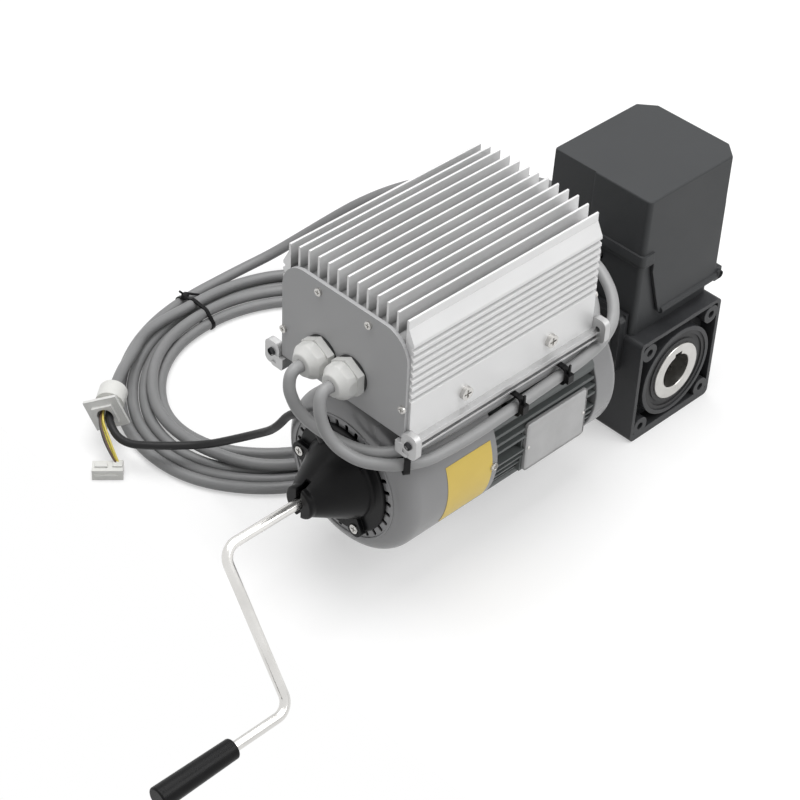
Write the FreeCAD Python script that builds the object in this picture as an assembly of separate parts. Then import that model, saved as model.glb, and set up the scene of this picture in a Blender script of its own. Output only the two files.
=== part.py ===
"""High-speed door drive: worm gearmotor with hollow shaft, inverter on top and hand crank.

Millimetres. Origin in the middle of the hollow shaft, Y along the hollow shaft,
X along the motor (crank end at minus X), Z up.
"""
import FreeCAD, Part
import os
from math import acos, atan2, cos, degrees, hypot, pi, radians, sin, sqrt, tan

V = FreeCAD.Vector
X_AXIS = V(1, 0, 0)
Y_AXIS = V(0, 1, 0)
Z_AXIS = V(0, 0, 1)

# Clearances
press_gap = 0.02        # radial gap of a pressed or bolted seat
running_gap = 0.05      # radial gap of a shaft in its bearing
free_gap = 0.5          # gap between a moving piece and a fixed one
screw_gap = 0.15        # radial gap of a screw in its hole

# Hollow shaft, bearings and seals
bore_d = 30.0
shaft_d = 50.0
shaft_proud = 1.0
key_width = 8.0
key_depth = 3.3
bearing_d = 72.0
bearing_width = 16.0
seal_width = 9.0
seal_recess = 1.0

# Worm set
centre_distance = 40.0
axial_module = 1.75
wheel_teeth = 35
worm_starts = 2
wheel_width = 20.0
worm_length = 40.0
tooth_backlash = 0.45
worm_station = 30.0

# Gear housing
gear_width = 106.0
face_w = 96.0
face_h = 98.0
corner_radius = 5.0
side_cover_thick = 8.0
frame_wall = 3.5
ring_wall = 3.5
pocket_depth = 14.0
face_hole_spacing = 74.0
face_hole_d = 6.6
face_boss_d = 16.0
face_hole_depth = 18.0
cover_bolt_spacing = 78.0
cover_bolt_d = 5.0
cover_bolt_length = 18.0
cover_bolt_sink = 5.0
worm_wall = 4.0
motor_pad_w = 68.0
motor_pad_h = 56.0
motor_pad_thick = 8.0
pad_bolt_w = 54.0
pad_bolt_h = 42.0
worm_bearing_d = 35.0
worm_bearing_width = 11.0
end_cap_thick = 4.0

# Limit-switch gear train
limit_module = 1.5
drive_teeth = 44
idler_teeth = 16
limit_gear_width = 6.0
limit_gear_y = 17.0
limit_backlash = 0.22
idler_pin_d = 5.0

# Motor
motor_d = 130.0
cowl_length = 92.0
cowl_wall = 1.5
cowl_shoulder = 15.0
flange_face_x = -112.0
flange_rim_x = -84.0
flange_foot_thick = 6.0
neck_d = 54.0
stator_length = 75.0
stator_d = 88.0
winding_overhang = 14.0
winding_gap = 3.0
rotor_d = 52.0
air_gap = 0.6
frame_wall_motor = 6.0
fin_thick = 2.0
fin_pitch_motor = 6.5
bar_d = 13.0
bar_inset = 6.0
upper_bar_angle = 28.3
lower_bar_angle = -45.0
shield_thick = 12.0
drive_bearing_d = 47.0
drive_bearing_width = 14.0
rear_bearing_d = 40.0
rear_bearing_width = 12.0
shaft_rotor_d = 24.0
shaft_drive_d = 20.0
shaft_rear_d = 17.0
shaft_fan_d = 14.0
fan_d = 104.0
fan_blades = 8
vent_slots = 30
plate_pad_length = 70.0
plate_pad_height = 40.0

# Hand crank
rod_d = 8.0
crank_reach = 71.0
crank_arm = 126.0
crank_angle = 34.0
crank_bend_radius = 12.0
handle_reach = 53.0
grip_length = 68.0
grip_d = 18.0
nose_length = 44.0
nose_d = 27.0
nose_slot_depth = 10.0
cross_pin_d = 3.0
cross_pin_length = 16.0
funnel_base_d = 66.0
funnel_disc_d = 88.0
funnel_disc_thick = 2.5
funnel_lobe_radius = 40.0
funnel_lobe_d = 14.0
funnel_lobe_thick = 6.0
funnel_wall = 3.0

# Inverter
sink_length = 187.0
sink_to_flange = 15.5
sink_half_w = 64.0
sink_bottom_z = 116.0
sink_body_top_z = 200.0
sink_shoulder = 22.0
cheek_top_z = 208.0
cheek_edge_z = 197.5
sink_wall = 5.0
sink_roof = 12.0
fin_count = 13
fin_pitch = 9.57
sink_fin_thick = 2.6
fin_tip_z = 219.5
fin_step = 2.2
rib_pitch = 6.2
rib_count = 8
rib_depth = 2.0
rib_low_z = 147.0
end_plate_thick = 3.0
end_plate_inset = 2.5
tray_thick = 3.0
tray_flange = 20.0
flange_screw_z = 129.0
flange_screw_span = 87.0
rail_w = 12.0
rail_h = 10.0
rail_overhang = 3.5
rail_out = 5.0
lug_y = 69.0
lug_w = 14.6
lug_h = 20.0
rail_hole_d = 4.6
saddle_w = 64.0
saddle_length = 70.0
gland_af = 27.0
gland_spacing = 30.0
gland_y = 5.0
gland_z = 143.0
gland_hex = 6.0
gland_cap_length = 13.0
lead_d = 9.0

# Limit-switch base and cover
base_half_w = 45.5
base_front_y = -40.0
base_rear_y = 52.0
base_rim_z = 126.0
base_wall = 3.0
base_floor_z = 63.0
cover_half_w = 48.0
cover_right_x = 60.0
cover_cut = 13.0
cover_front_y = -43.0
cover_rear_y = 55.0
cover_top_z = 177.0
cover_lip_z = 116.0
cover_wall = 2.5
tongue_bottom_z = 62.0
tongue_left_x = -20.0
tongue_top_x = -34.0

# Cables
cable_d = 9.3
coil_x = -194.0
coil_y = 181.0
coil_mean_r = 122.5
coil_band = 41.0
coil_height = 19.0

# Derived places
shaft_r = shaft_d / 2
bearing_r = bearing_d / 2
face_y = -gear_width / 2
rear_y = gear_width / 2
joint_y = rear_y - side_cover_thick
gear_left_x = -face_w / 2
gear_right_x = face_w / 2
block_top_z = face_h / 2
worm_z = centre_distance
wheel_pitch_r = axial_module * wheel_teeth / 2
worm_pitch_r = centre_distance - wheel_pitch_r
worm_tip_r = worm_pitch_r + axial_module
worm_root_r = worm_pitch_r - 1.2 * axial_module
worm_lead = pi * axial_module * worm_starts
hump_r = worm_bearing_d / 2 + worm_wall
motor_r = motor_d / 2
stator_r = stator_d / 2
frame_r = stator_r + frame_wall_motor
cowl_rear_x = flange_face_x - stator_length - 2 * (winding_overhang + winding_gap)
cowl_front_x = cowl_rear_x - cowl_length
nose_tip_x = cowl_front_x - nose_length
crank_bend_x = nose_tip_x - crank_reach
grip_start_x = crank_bend_x - handle_reach
sink_rear_x = flange_face_x - sink_to_flange
sink_front_x = sink_rear_x - sink_length
sink_mid_x = (sink_front_x + sink_rear_x) / 2
rail_side_y = sink_half_w + rail_out
rail_low_z = sink_bottom_z - rail_h
floor_z = -face_h / 2
front_plate_x = sink_front_x - end_plate_thick
rear_plate_x = sink_rear_x + end_plate_thick
bar_ring = motor_r - bar_inset
bars = [(side * bar_ring * cos(radians(a)), bar_ring * sin(radians(a)))
        for a in (upper_bar_angle, lower_bar_angle) for side in (-1, 1)]


def block(x0, x1, y0, y1, z0, z1):
    """Box between two corners."""
    return Part.makeBox(x1 - x0, y1 - y0, z1 - z0, V(x0, y0, z0))


def rod(radius, start, end):
    """Round bar between two points."""
    run = end - start
    return Part.makeCylinder(radius, run.Length, start, run)


def pipe(outer, inner, start, end):
    return rod(outer, start, end).cut(rod(inner, start, end))


def outline(points, place):
    """Closed wire of straight sides with rounded corners: points are (u, v, corner radius)."""
    edges = []
    ends = []
    count = len(points)
    for i, (u, v, r) in enumerate(points):
        here = place(u, v)
        before = place(*points[i - 1][:2])
        after = place(*points[(i + 1) % count][:2])
        if r <= 0:
            ends.append((here, here, None))
            continue
        back = (before - here).normalize()
        on = (after - here).normalize()
        half = acos(max(-1.0, min(1.0, back.dot(on)))) / 2
        reach = r / tan(half)
        middle = (back + on).normalize()
        centre = here + middle * (r / sin(half))
        ends.append((here + back * reach, here + on * reach, centre - middle * r))
    for i, (start, end, top) in enumerate(ends):
        if top is not None:
            edges.append(Part.Arc(start, top, end).toShape())
        following = ends[(i + 1) % count][0]
        if (following - end).Length > 1e-6:
            edges.append(Part.LineSegment(end, following).toShape())
    return Part.Wire(edges)


def prism(points, place, direction):
    """Solid of a rounded outline pushed along a direction."""
    return Part.Face(outline(points, place)).extrude(direction)


def rounded(x0, x1, y0, y1, z0, z1, r, axis="z"):
    """Box with its four edges along one axis rounded."""
    if axis == "z":
        corners = [(x0, y0, r), (x1, y0, r), (x1, y1, r), (x0, y1, r)]
        return prism(corners, lambda u, v: V(u, v, z0), V(0, 0, z1 - z0))
    if axis == "y":
        corners = [(x0, z0, r), (x1, z0, r), (x1, z1, r), (x0, z1, r)]
        return prism(corners, lambda u, v: V(u, y0, v), V(0, y1 - y0, 0))
    corners = [(y0, z0, r), (y1, z0, r), (y1, z1, r), (y0, z1, r)]
    return prism(corners, lambda u, v: V(x0, u, v), V(x1 - x0, 0, 0))


def skinned(rings):
    """Solid with flat facets between rings of points, closed by a flat face at both ends."""
    faces = [Part.Face(Part.makePolygon(ring + ring[:1])) for ring in (rings[0], rings[-1])]
    for near, far in zip(rings, rings[1:]):
        for k in range(len(near)):
            a, b, c, d = near[k - 1], near[k], far[k], far[k - 1]
            faces.append(Part.Face(Part.makePolygon([a, b, c, a])))
            faces.append(Part.Face(Part.makePolygon([a, c, d, a])))
    skin = Part.makeShell(faces)
    skin.sewShape()
    return Part.makeSolid(skin)


def turned_y(points):
    """Solid of revolution about the hollow shaft's axis: points are (y, radius, corner radius)."""
    face = Part.Face(outline(points, lambda y, r: V(r, y, 0)))
    return face.revolve(V(0, 0, 0), Y_AXIS, 360)


def turned_x(points):
    """Solid of revolution about the motor's axis: points are (x, radius, corner radius)."""
    face = Part.Face(outline(points, lambda x, r: V(x, r, worm_z)))
    return face.revolve(V(0, 0, worm_z), X_AXIS, 360)


def fuse(shapes):
    return shapes[0].multiFuse(shapes[1:]).removeSplitter()


def group(shapes):
    """Several separate solids in one node."""
    return Part.makeCompound(shapes)


def around_x(angle, radius, x=0.0):
    """Point on a circle about the motor's axis, angle from plus Y towards plus Z."""
    return V(x, radius * cos(radians(angle)), worm_z + radius * sin(radians(angle)))


def screw(head_r, head_h, shank_r, length, seat, direction):
    """Pan head on its seat with the shank pointing along the direction, and a cross recess."""
    way = V(direction).normalize()
    head = Part.makeCylinder(head_r, head_h, seat, way * -1)
    shank = Part.makeCylinder(shank_r, length, seat, way)
    body = head.fuse(shank).removeSplitter()
    side = way.cross(Z_AXIS if abs(way.z) < 0.9 else X_AXIS).normalize()
    for across in (side, way.cross(side)):
        slot = Part.makeBox(1.3 * head_r, 0.28 * head_r, 0.5 * head_h, V(-0.65 * head_r, -0.14 * head_r, 0))
        slot.Placement = FreeCAD.Placement(seat - way * head_h, frame_of(across, way))
        body = body.cut(slot)
    return body


def frame_of(x_way, z_way):
    """Rotation that turns X to x_way and Z to z_way."""
    return FreeCAD.Rotation(x_way, V(), z_way, "ZXY")


def spur_gear(teeth, module, backlash, hole_r, width, middle, phase):
    """Spur gear about an axis along Y with straight-flanked teeth."""
    pitch_r = module * teeth / 2
    tip_r = pitch_r + 0.85 * module
    root_r = pitch_r - 1.1 * module
    step = 360.0 / teeth
    half_root = degrees((pi * module / 4 - backlash + 1.1 * module * tan(radians(20))) / pitch_r)
    half_tip = degrees((pi * module / 4 - backlash - 0.85 * module * tan(radians(20))) / pitch_r)
    points = []
    for i in range(teeth):
        centre = phase + i * step
        for turn, radius in ((-half_root, root_r), (-half_tip, tip_r), (half_tip, tip_r),
                             (half_root, root_r)):
            angle = radians(centre + turn)
            points.append(V(radius * sin(angle), -width / 2, radius * cos(angle)))
    points.append(points[0])
    gear = Part.Face(Part.makePolygon(points)).extrude(V(0, width, 0))
    gear = gear.cut(rod(hole_r, V(0, -width, 0), V(0, width, 0)))
    gear.translate(middle)
    return gear


def cord(points, diameter, name, radius=None):
    """Tube along a route of straight runs and tangent arcs as large as the runs allow."""
    edges = []
    radii = []
    last = points[0]
    for i in range(1, len(points) - 1):
        here = points[i]
        back = points[i - 1] - here
        on = points[i + 1] - here
        turn = pi - back.getAngle(on)
        bend = radius if radius else 0.45 * min(back.Length, on.Length) / tan(turn / 2)
        reach = bend * tan(turn / 2)
        back.normalize()
        on.normalize()
        start = here + back * reach
        end = here + on * reach
        middle = (back + on).normalize()
        top = here + middle * (bend / cos(turn / 2) - bend)
        edges.append(Part.LineSegment(last, start).toShape())
        edges.append(Part.Arc(start, top, end).toShape())
        radii.append(bend)
        last = end
    edges.append(Part.LineSegment(last, points[-1]).toShape())
    path = Part.Wire(edges)
    first = points[1] - points[0]
    ring = Part.Wire([Part.makeCircle(diameter / 2, points[0], first)])
    tube = path.makePipeShell([ring], True, False)
    expected = path.Length * pi * diameter ** 2 / 4
    print(name, "radii", [round(r, 1) for r in radii], "length", round(path.Length, 1),
          "volume ratio", round(tube.Volume / expected, 4))
    return tube


# Gearbox

def corner_places(spacing):
    half = spacing / 2
    return [(sx * half, sz * half) for sx in (-1, 1) for sz in (-1, 1)]


def gear_housing():
    """Cast block with the ring of the output bearing, corner bosses and the worm tunnel on top."""
    body = rounded(gear_left_x, gear_right_x, face_y, joint_y, -block_top_z, block_top_z, corner_radius,
                   "y")
    tunnel = rod(hump_r, V(gear_left_x, 0, worm_z), V(gear_right_x, 0, worm_z))
    gear_boss = rounded(-22, 22, 0, 30, worm_z, worm_z + hump_r, 2, "y")
    pad = block(gear_left_x, gear_left_x + motor_pad_thick, -motor_pad_w / 2, motor_pad_w / 2,
                worm_z - motor_pad_h / 2, worm_z + motor_pad_h / 2)
    body = fuse([body, tunnel, gear_boss, pad])
    inner_x = gear_right_x - frame_wall
    inner_z = block_top_z - frame_wall
    keep = [rod(bearing_r + ring_wall, V(0, face_y - 1, 0), V(0, face_y + pocket_depth + 1, 0)),
            block(-inner_x, inner_x, face_y - 1, face_y + pocket_depth + 1, -inner_z - 1, 7 - block_top_z)]
    for x, z in corner_places(face_hole_spacing):
        keep.append(rod(face_boss_d / 2, V(x, face_y - 1, z), V(x, face_y + pocket_depth + 1, z)))
    pocket = rounded(-inner_x, inner_x, face_y, face_y + pocket_depth, -inner_z, inner_z,
                     corner_radius / 2, "y")
    body = body.cut(pocket.cut(fuse(keep)))
    body = body.cut(rod(bearing_r, V(0, face_y - 1, 0), V(0, joint_y + 1, 0)))
    body = body.cut(rod(worm_bearing_d / 2, V(gear_left_x - 1, 0, worm_z), V(gear_right_x + 1, 0, worm_z)))
    for x, z in corner_places(face_hole_spacing):
        body = body.cut(rod(face_hole_d / 2, V(x, face_y - 1, z), V(x, face_y + face_hole_depth, z)))
    for x, z in corner_places(cover_bolt_spacing):
        tip = rear_y - cover_bolt_sink - cover_bolt_length - 2
        body = body.cut(rod(cover_bolt_d / 2 + screw_gap, V(x, joint_y + 1, z), V(x, tip, z)))
    for y, z in pad_bolts():
        body = body.cut(rod(3.0 + screw_gap, V(gear_left_x - 1, y, z),
                            V(gear_left_x + motor_pad_thick + 4, y, z)))
    window = limit_gear_width / 2 + 1.5
    reach = limit_module * (idler_teeth / 2 + 1) + 2
    body = body.cut(block(-reach, reach, limit_gear_y - window, limit_gear_y + window, worm_z - 8,
                          worm_z + 60))
    return body.cut(rod(idler_pin_d / 2 + press_gap, V(0, limit_gear_y, idler_z), V(0, 29, idler_z)))


def pad_bolts():
    return [(sy * pad_bolt_w / 2, worm_z + sz * pad_bolt_h / 2) for sy in (-1, 1) for sz in (-1, 1)]


def gear_side_cover():
    plate = rounded(gear_left_x, gear_right_x, joint_y, rear_y, -block_top_z, block_top_z, corner_radius,
                    "y")
    plate = plate.cut(rod(bearing_r, V(0, joint_y - 1, 0), V(0, rear_y + 1, 0)))
    for x, z in corner_places(cover_bolt_spacing):
        plate = plate.cut(rod(cover_bolt_d / 2 + screw_gap, V(x, joint_y - 1, z), V(x, rear_y + 1, z)))
        plate = plate.cut(rod(cover_bolt_d * 0.9 + free_gap, V(x, rear_y - cover_bolt_sink, z),
                              V(x, rear_y + 1, z)))
    return plate


def side_cover_screws():
    head_r = cover_bolt_d * 0.9
    head_h = cover_bolt_d * 0.8
    return group([screw(head_r, head_h, cover_bolt_d / 2, cover_bolt_length,
                        V(x, rear_y - cover_bolt_sink, z), -Y_AXIS)
                  for x, z in corner_places(cover_bolt_spacing)])


def output_shaft():
    end = rear_y + shaft_proud
    tube = turned_y([(-end, bore_d / 2, 1), (-end, shaft_r, 1), (end, shaft_r, 1), (end, bore_d / 2, 1)])
    key = block(-key_width / 2, key_width / 2, -end - 1, end + 1, 0, bore_d / 2 + key_depth)
    return tube.cut(key.cut(rod(bore_d / 2 - 1, V(0, -end - 1, 0), V(0, end + 1, 0))))


def worm_wheel():
    """Bronze wheel: straight-flanked teeth lofted along the lead angle of the worm."""
    tip = wheel_pitch_r + axial_module
    root = wheel_pitch_r - 1.2 * axial_module
    step = 360.0 / wheel_teeth
    flank = tan(radians(20))
    quarter = pi * axial_module / 4 - tooth_backlash
    half_root = degrees((quarter + 1.2 * axial_module * flank) / wheel_pitch_r)
    half_tip = degrees((quarter - axial_module * flank) / wheel_pitch_r)
    twist = degrees(wheel_width / 2 * worm_lead / (2 * pi * worm_pitch_r) / wheel_pitch_r)
    rings = []
    for side in (-1, 1):
        points = []
        for i in range(wheel_teeth):
            centre = (i + 0.5) * step + side * twist
            for turn, r in ((-half_root, root), (-half_tip, tip), (half_tip, tip), (half_root, root)):
                angle = radians(centre + turn)
                points.append(V(r * sin(angle), side * wheel_width / 2, r * cos(angle)))
        rings.append(points)
    wheel = skinned(rings)
    half = wheel_width
    return wheel.cut(rod(shaft_r + press_gap, V(0, -half, 0), V(0, half, 0)))


def ring_y(outer, inner, y0, y1, groove):
    """Ring about the hollow shaft with a shallow groove in both faces."""
    ring = turned_y([(y0, inner, 0), (y0, outer, 0), (y1, outer, 0), (y1, inner, 0)])
    middle = (outer + inner) / 2
    depth = 1.2
    for y, way in ((y0, 1), (y1, -1)):
        low = min(y, y + way * depth)
        ring = ring.cut(turned_y([(low, middle - groove, 0), (low, middle + groove, 0),
                                  (low + depth, middle + groove, 0), (low + depth, middle - groove, 0)]))
    return ring


def output_bearing(side):
    near = gear_width / 2 - seal_recess - seal_width
    y0, y1 = sorted((side * near, side * (near - bearing_width)))
    return ring_y(bearing_r - press_gap, shaft_r + running_gap, y0, y1, 4.0)


def shaft_seal(side):
    far = gear_width / 2 - seal_recess
    y0, y1 = sorted((side * far, side * (far - seal_width)))
    return ring_y(bearing_r - press_gap, shaft_r + running_gap, y0, y1, 2.0)


# Limit-switch gear train

drive_pitch_r = limit_module * drive_teeth / 2
idler_pitch_r = limit_module * idler_teeth / 2
idler_z = drive_pitch_r + idler_pitch_r
encoder_z = idler_z + 2 * idler_pitch_r


def limit_drive_gear():
    return spur_gear(drive_teeth, limit_module, limit_backlash, shaft_r + press_gap, limit_gear_width,
                     V(0, limit_gear_y, 0), 180.0 / drive_teeth)


def idler_gear():
    return spur_gear(idler_teeth, limit_module, limit_backlash, idler_pin_d / 2 + running_gap,
                     limit_gear_width,
                     V(0, limit_gear_y, idler_z), 0.0)


def idler_pin():
    shank = rod(idler_pin_d / 2, V(0, limit_gear_y - limit_gear_width / 2 - 1.5, idler_z),
                V(0, 28, idler_z))
    return shank


def encoder_gear():
    gear = spur_gear(idler_teeth, limit_module, limit_backlash, 2.5, limit_gear_width,
                     V(0, limit_gear_y, encoder_z), 180.0 / idler_teeth)
    spindle = rod(3.0, V(0, limit_gear_y - 2, encoder_z), V(0, encoder_front_y + 12, encoder_z))
    return gear.fuse(spindle).removeSplitter()


encoder_front_y = limit_gear_y + limit_gear_width / 2 + 4.0


def encoder_unit():
    """Plastic encoder on the floor of the base, with the bearing of its spindle in front."""
    y0 = encoder_front_y
    floor = base_floor_z + base_wall
    body = rounded(-19, 19, y0, base_rear_y - base_wall - 1, floor, floor + 40, 3, "y")
    neck = rod(7.0, V(0, y0 - 2, encoder_z), V(0, y0, encoder_z))
    plug_socket = block(-12, 12, y0 + 5, y0 + 17, floor + 40, floor + 48)
    body = body.fuse([neck, plug_socket]).removeSplitter()
    body = body.cut(rod(3.0 + running_gap, V(0, y0 - 3, encoder_z), V(0, y0 + 12.5, encoder_z)))
    return body.cut(block(-10, 10, y0 + 7, y0 + 15, floor + 42, floor + 49))


# Limit-switch base and cover

def tapered_box(half_low, half_high, y0, y1, z0, z1, lean, r):
    """Box with rounded corners whose walls lean from the lower to the upper outline."""
    wires = []
    for half, z, back in ((half_low, z0, 0.0), (half_high, z1, lean)):
        corners = [(-half, y0 - back, r), (half, y0 - back, r), (half, y1 + back, r), (-half, y1 + back, r)]
        wires.append(outline(corners, lambda u, v, z=z: V(u, v, z)))
    return Part.makeLoft(wires, True, True)


def limit_switch_base():
    """Open skirt on the gear housing with the floor that carries the encoder and the terminals."""
    lean = 0.6
    top_half = cover_half_w - cover_wall - 0.4
    outer = tapered_box(base_half_w - 0.9, top_half, base_front_y + lean, base_rear_y - lean, block_top_z,
                        base_rim_z, lean, 4)
    inner = tapered_box(base_half_w - 0.9 - base_wall, top_half - base_wall,
                        base_front_y + lean + base_wall,
                        base_rear_y - lean - base_wall, block_top_z, base_rim_z, lean, 2)
    floor_cut = block(-100, 100, -100, 100, base_floor_z, base_floor_z + base_wall)
    floor = inner.common(floor_cut)
    skirt = outer.cut(inner).fuse(floor).removeSplitter()
    window = limit_gear_width / 2 + 1.5
    reach = limit_module * (idler_teeth / 2 + 1) + 2
    skirt = skirt.cut(block(-reach, reach, limit_gear_y - window, encoder_front_y, 0, base_floor_z + 20))
    arch_w = motor_pad_w / 2 + free_gap
    skirt = skirt.cut(block(-100, gear_left_x + motor_pad_thick + free_gap, -arch_w, arch_w, 0,
                            worm_z + motor_pad_h / 2 + free_gap))
    tunnel = hump_r + free_gap
    skirt = skirt.cut(rod(tunnel, V(0, 0, worm_z), V(100, 0, worm_z)))
    for y, z in lead_entries:
        skirt = skirt.cut(rod(lead_d / 2 + 2, V(-100, y, z), V(0, y, z)))
    return skirt.cut(rod(8.0, V(supply_x, 0, supply_z), V(supply_x, 100, supply_z)))


lead_entries = [(4.0, 106.0), (24.0, 106.0)]
supply_x = 30.0
supply_z = 78.0


def hood_ring(z, lean):
    """Plan outline of the hood at one height: its right side stands out and has cut corners."""
    left = lean - cover_half_w
    right = cover_right_x - lean
    front = cover_front_y
    rear = cover_rear_y - lean
    corners = [(left, front, 4), (cover_half_w, front, 2), (right, front + cover_cut, 2),
               (right, rear - cover_cut, 2), (cover_half_w, rear, 2), (left, rear, 4)]
    return outline(corners, lambda u, v: V(u, v, z))


def limit_switch_cover():
    """Moulded hood with a stepped side, a rim at its foot and a tongue down the front."""
    w = cover_half_w
    t = cover_wall
    front = cover_front_y
    rear = cover_rear_y
    foot_z = cover_lip_z + 12
    lean = 0.8
    upper = Part.makeLoft([hood_ring(foot_z, 0.0), hood_ring(cover_top_z, lean)], True, True)
    upper = upper.makeFillet(1.5, [e for e in upper.Edges if e.BoundBox.ZMin > cover_top_z - 0.1])
    upper = upper.cut(block(-w - 5, 1.6 - w, 12.0, rear + 5, foot_z + 2, cover_top_z + 5))
    lower = rounded(-w, w, front, rear, cover_lip_z, foot_z, 4)
    rim = rounded(-w - 1.5, w + 1.5, front - 1.5, rear + 1.5, cover_lip_z + 4, foot_z, 4)
    outer = fuse([upper, lower, rim.cut(block(-w + 12, w + 9, front - 9, front + 9, 0, 300))])
    hollow = rounded(t - w, w - t, front + t, rear - t, cover_lip_z - 1, cover_top_z - t, 2)
    right = cover_right_x - lean - t
    bay = [(w - t - 5, front + 4, 0), (w - 1, front + 4, 0), (right, front + cover_cut + 1.2, 0),
           (right, rear - cover_cut - 2, 0), (w - 1, rear - 5, 0), (w - t - 5, rear - 5, 0)]
    side_hollow = prism(bay, lambda u, v: V(u, v, foot_z + t), V(0, 0, cover_top_z - foot_z - 2 * t))
    hood = outer.cut(hollow).cut(side_hollow)
    face = [(tongue_left_x, tongue_bottom_z, 3), (w, tongue_bottom_z, 2), (w, cover_lip_z + 20, 0),
            (tongue_top_x, cover_lip_z + 20, 0), (tongue_top_x, cover_lip_z - 8, 3)]
    tongue = prism(face, lambda u, v: V(u, cover_front_y, v), V(0, cover_wall, 0))
    bead = rod(3.0, V(tongue_left_x + 2, cover_front_y + 0.6, tongue_bottom_z + 1.5),
               V(w + 2, cover_front_y + 0.6, tongue_bottom_z + 1.5))
    bead = bead.common(block(-200, 200, cover_front_y - 5, cover_front_y + cover_wall, 0, 200))
    lug = rounded(w - 1, w + 8, cover_front_y, cover_front_y + cover_wall + 3, tongue_bottom_z - 4,
                  tongue_bottom_z + 9, 2.5, "y")
    lug = lug.cut(block(0, w, cover_front_y + cover_wall, 0, 0, 200))
    lug = lug.cut(rod(2.0 + screw_gap, V(w + 4, cover_front_y - 9, tongue_bottom_z + 2.5),
                      V(w + 4, 0, tongue_bottom_z + 2.5)))
    return fuse([hood, tongue, bead, lug])


def terminal_board():
    floor = base_floor_z + base_wall
    board = rounded(-36, -22, -30, 34, floor + 8, floor + 9.6, 1)
    blocks = [block(-33, -25, y, y + 9, floor + 9.6, floor + 20) for y in range(-26, 26, 10)]
    posts = [rod(3.0, V(-29, y, floor), V(-29, y, floor + 8)) for y in (-27, 31)]
    return fuse([board] + blocks + posts)


def supply_gland():
    """Gland in the rear wall of the base, where the supply cable leaves."""
    y = base_rear_y
    hexagon = hex_bar(gland_af * 0.9, V(supply_x, y, supply_z), V(0, 6, 0))
    thread = rod(7.8, V(supply_x, y - 8, supply_z), V(supply_x, y, supply_z))
    cap = rod(10.5, V(supply_x, y + 6, supply_z), V(supply_x, y + 18, supply_z))
    cap = cap.makeFillet(2.5, [e for e in cap.Edges if e.BoundBox.YMin > y + 17.9])
    body = fuse([hexagon, thread, cap])
    return body.cut(rod(cable_d / 2 + 0.1, V(supply_x, y - 9, supply_z), V(supply_x, y + 19, supply_z)))


def hex_bar(across_flats, base, push):
    """Hexagonal bar standing on a point, along X or Y."""
    corner = across_flats / sqrt(3)
    points = []
    for i in range(7):
        a = radians(60 * i + 30)
        if abs(push.x) > abs(push.y):
            points.append(base + V(0, corner * cos(a), corner * sin(a)))
        else:
            points.append(base + V(corner * cos(a), 0, corner * sin(a)))
    return Part.Face(Part.makePolygon(points)).extrude(push)


# Motor

def motor_flange():
    """Round drive-end flange: drum, cone and square foot bolted to the gear housing."""
    foot_x = gear_left_x - flange_foot_thick
    r = motor_r - 1
    drum = turned_x([(flange_face_x, 0, 0), (flange_face_x, r, 1), (flange_rim_x - 6, r, 6),
                     (flange_rim_x + 8, neck_d / 2, 8), (gear_left_x, neck_d / 2, 0), (gear_left_x, 0, 0)])
    foot = rounded(foot_x, gear_left_x, -motor_pad_w / 2, motor_pad_w / 2, worm_z - motor_pad_h / 2,
                   worm_z + motor_pad_h / 2, 6, "x")
    body = fuse([drum, foot])
    body = body.cut(rod(shaft_drive_d / 2 + 2, V(flange_face_x - 1, 0, worm_z), V(0, 0, worm_z)))
    body = body.cut(rod(drive_bearing_d / 2, V(flange_face_x - 1, 0, worm_z),
                        V(drive_bearing_x, 0, worm_z)))
    hollow = turned_x([(flange_face_x - 1, 0, 0), (flange_face_x - 1, stator_r - 1, 0),
                       (flange_face_x + 8, stator_r - 1, 4), (flange_face_x + 8, 0, 0)])
    body = body.cut(hollow)
    for y, z in pad_bolts():
        body = body.cut(rod(3.0 + screw_gap, V(foot_x - 1, y, z), V(gear_left_x + 1, y, z)))
        body = body.cut(rod(5.6, V(foot_x - 20, y, z), V(foot_x, y, z)))
    for y, z in bars:
        body = body.cut(rod(2.5 + screw_gap, V(flange_face_x - 1, y, worm_z + z),
                            V(flange_face_x + 15, y, worm_z + z)))
    return body


drive_bearing_x = flange_face_x + 8 + drive_bearing_width


def flange_bolts():
    seat = gear_left_x - flange_foot_thick
    return group([screw(5.0, 5.0, 3.0, flange_foot_thick + 7, V(seat, y, z), X_AXIS)
                  for y, z in pad_bolts()])


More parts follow.
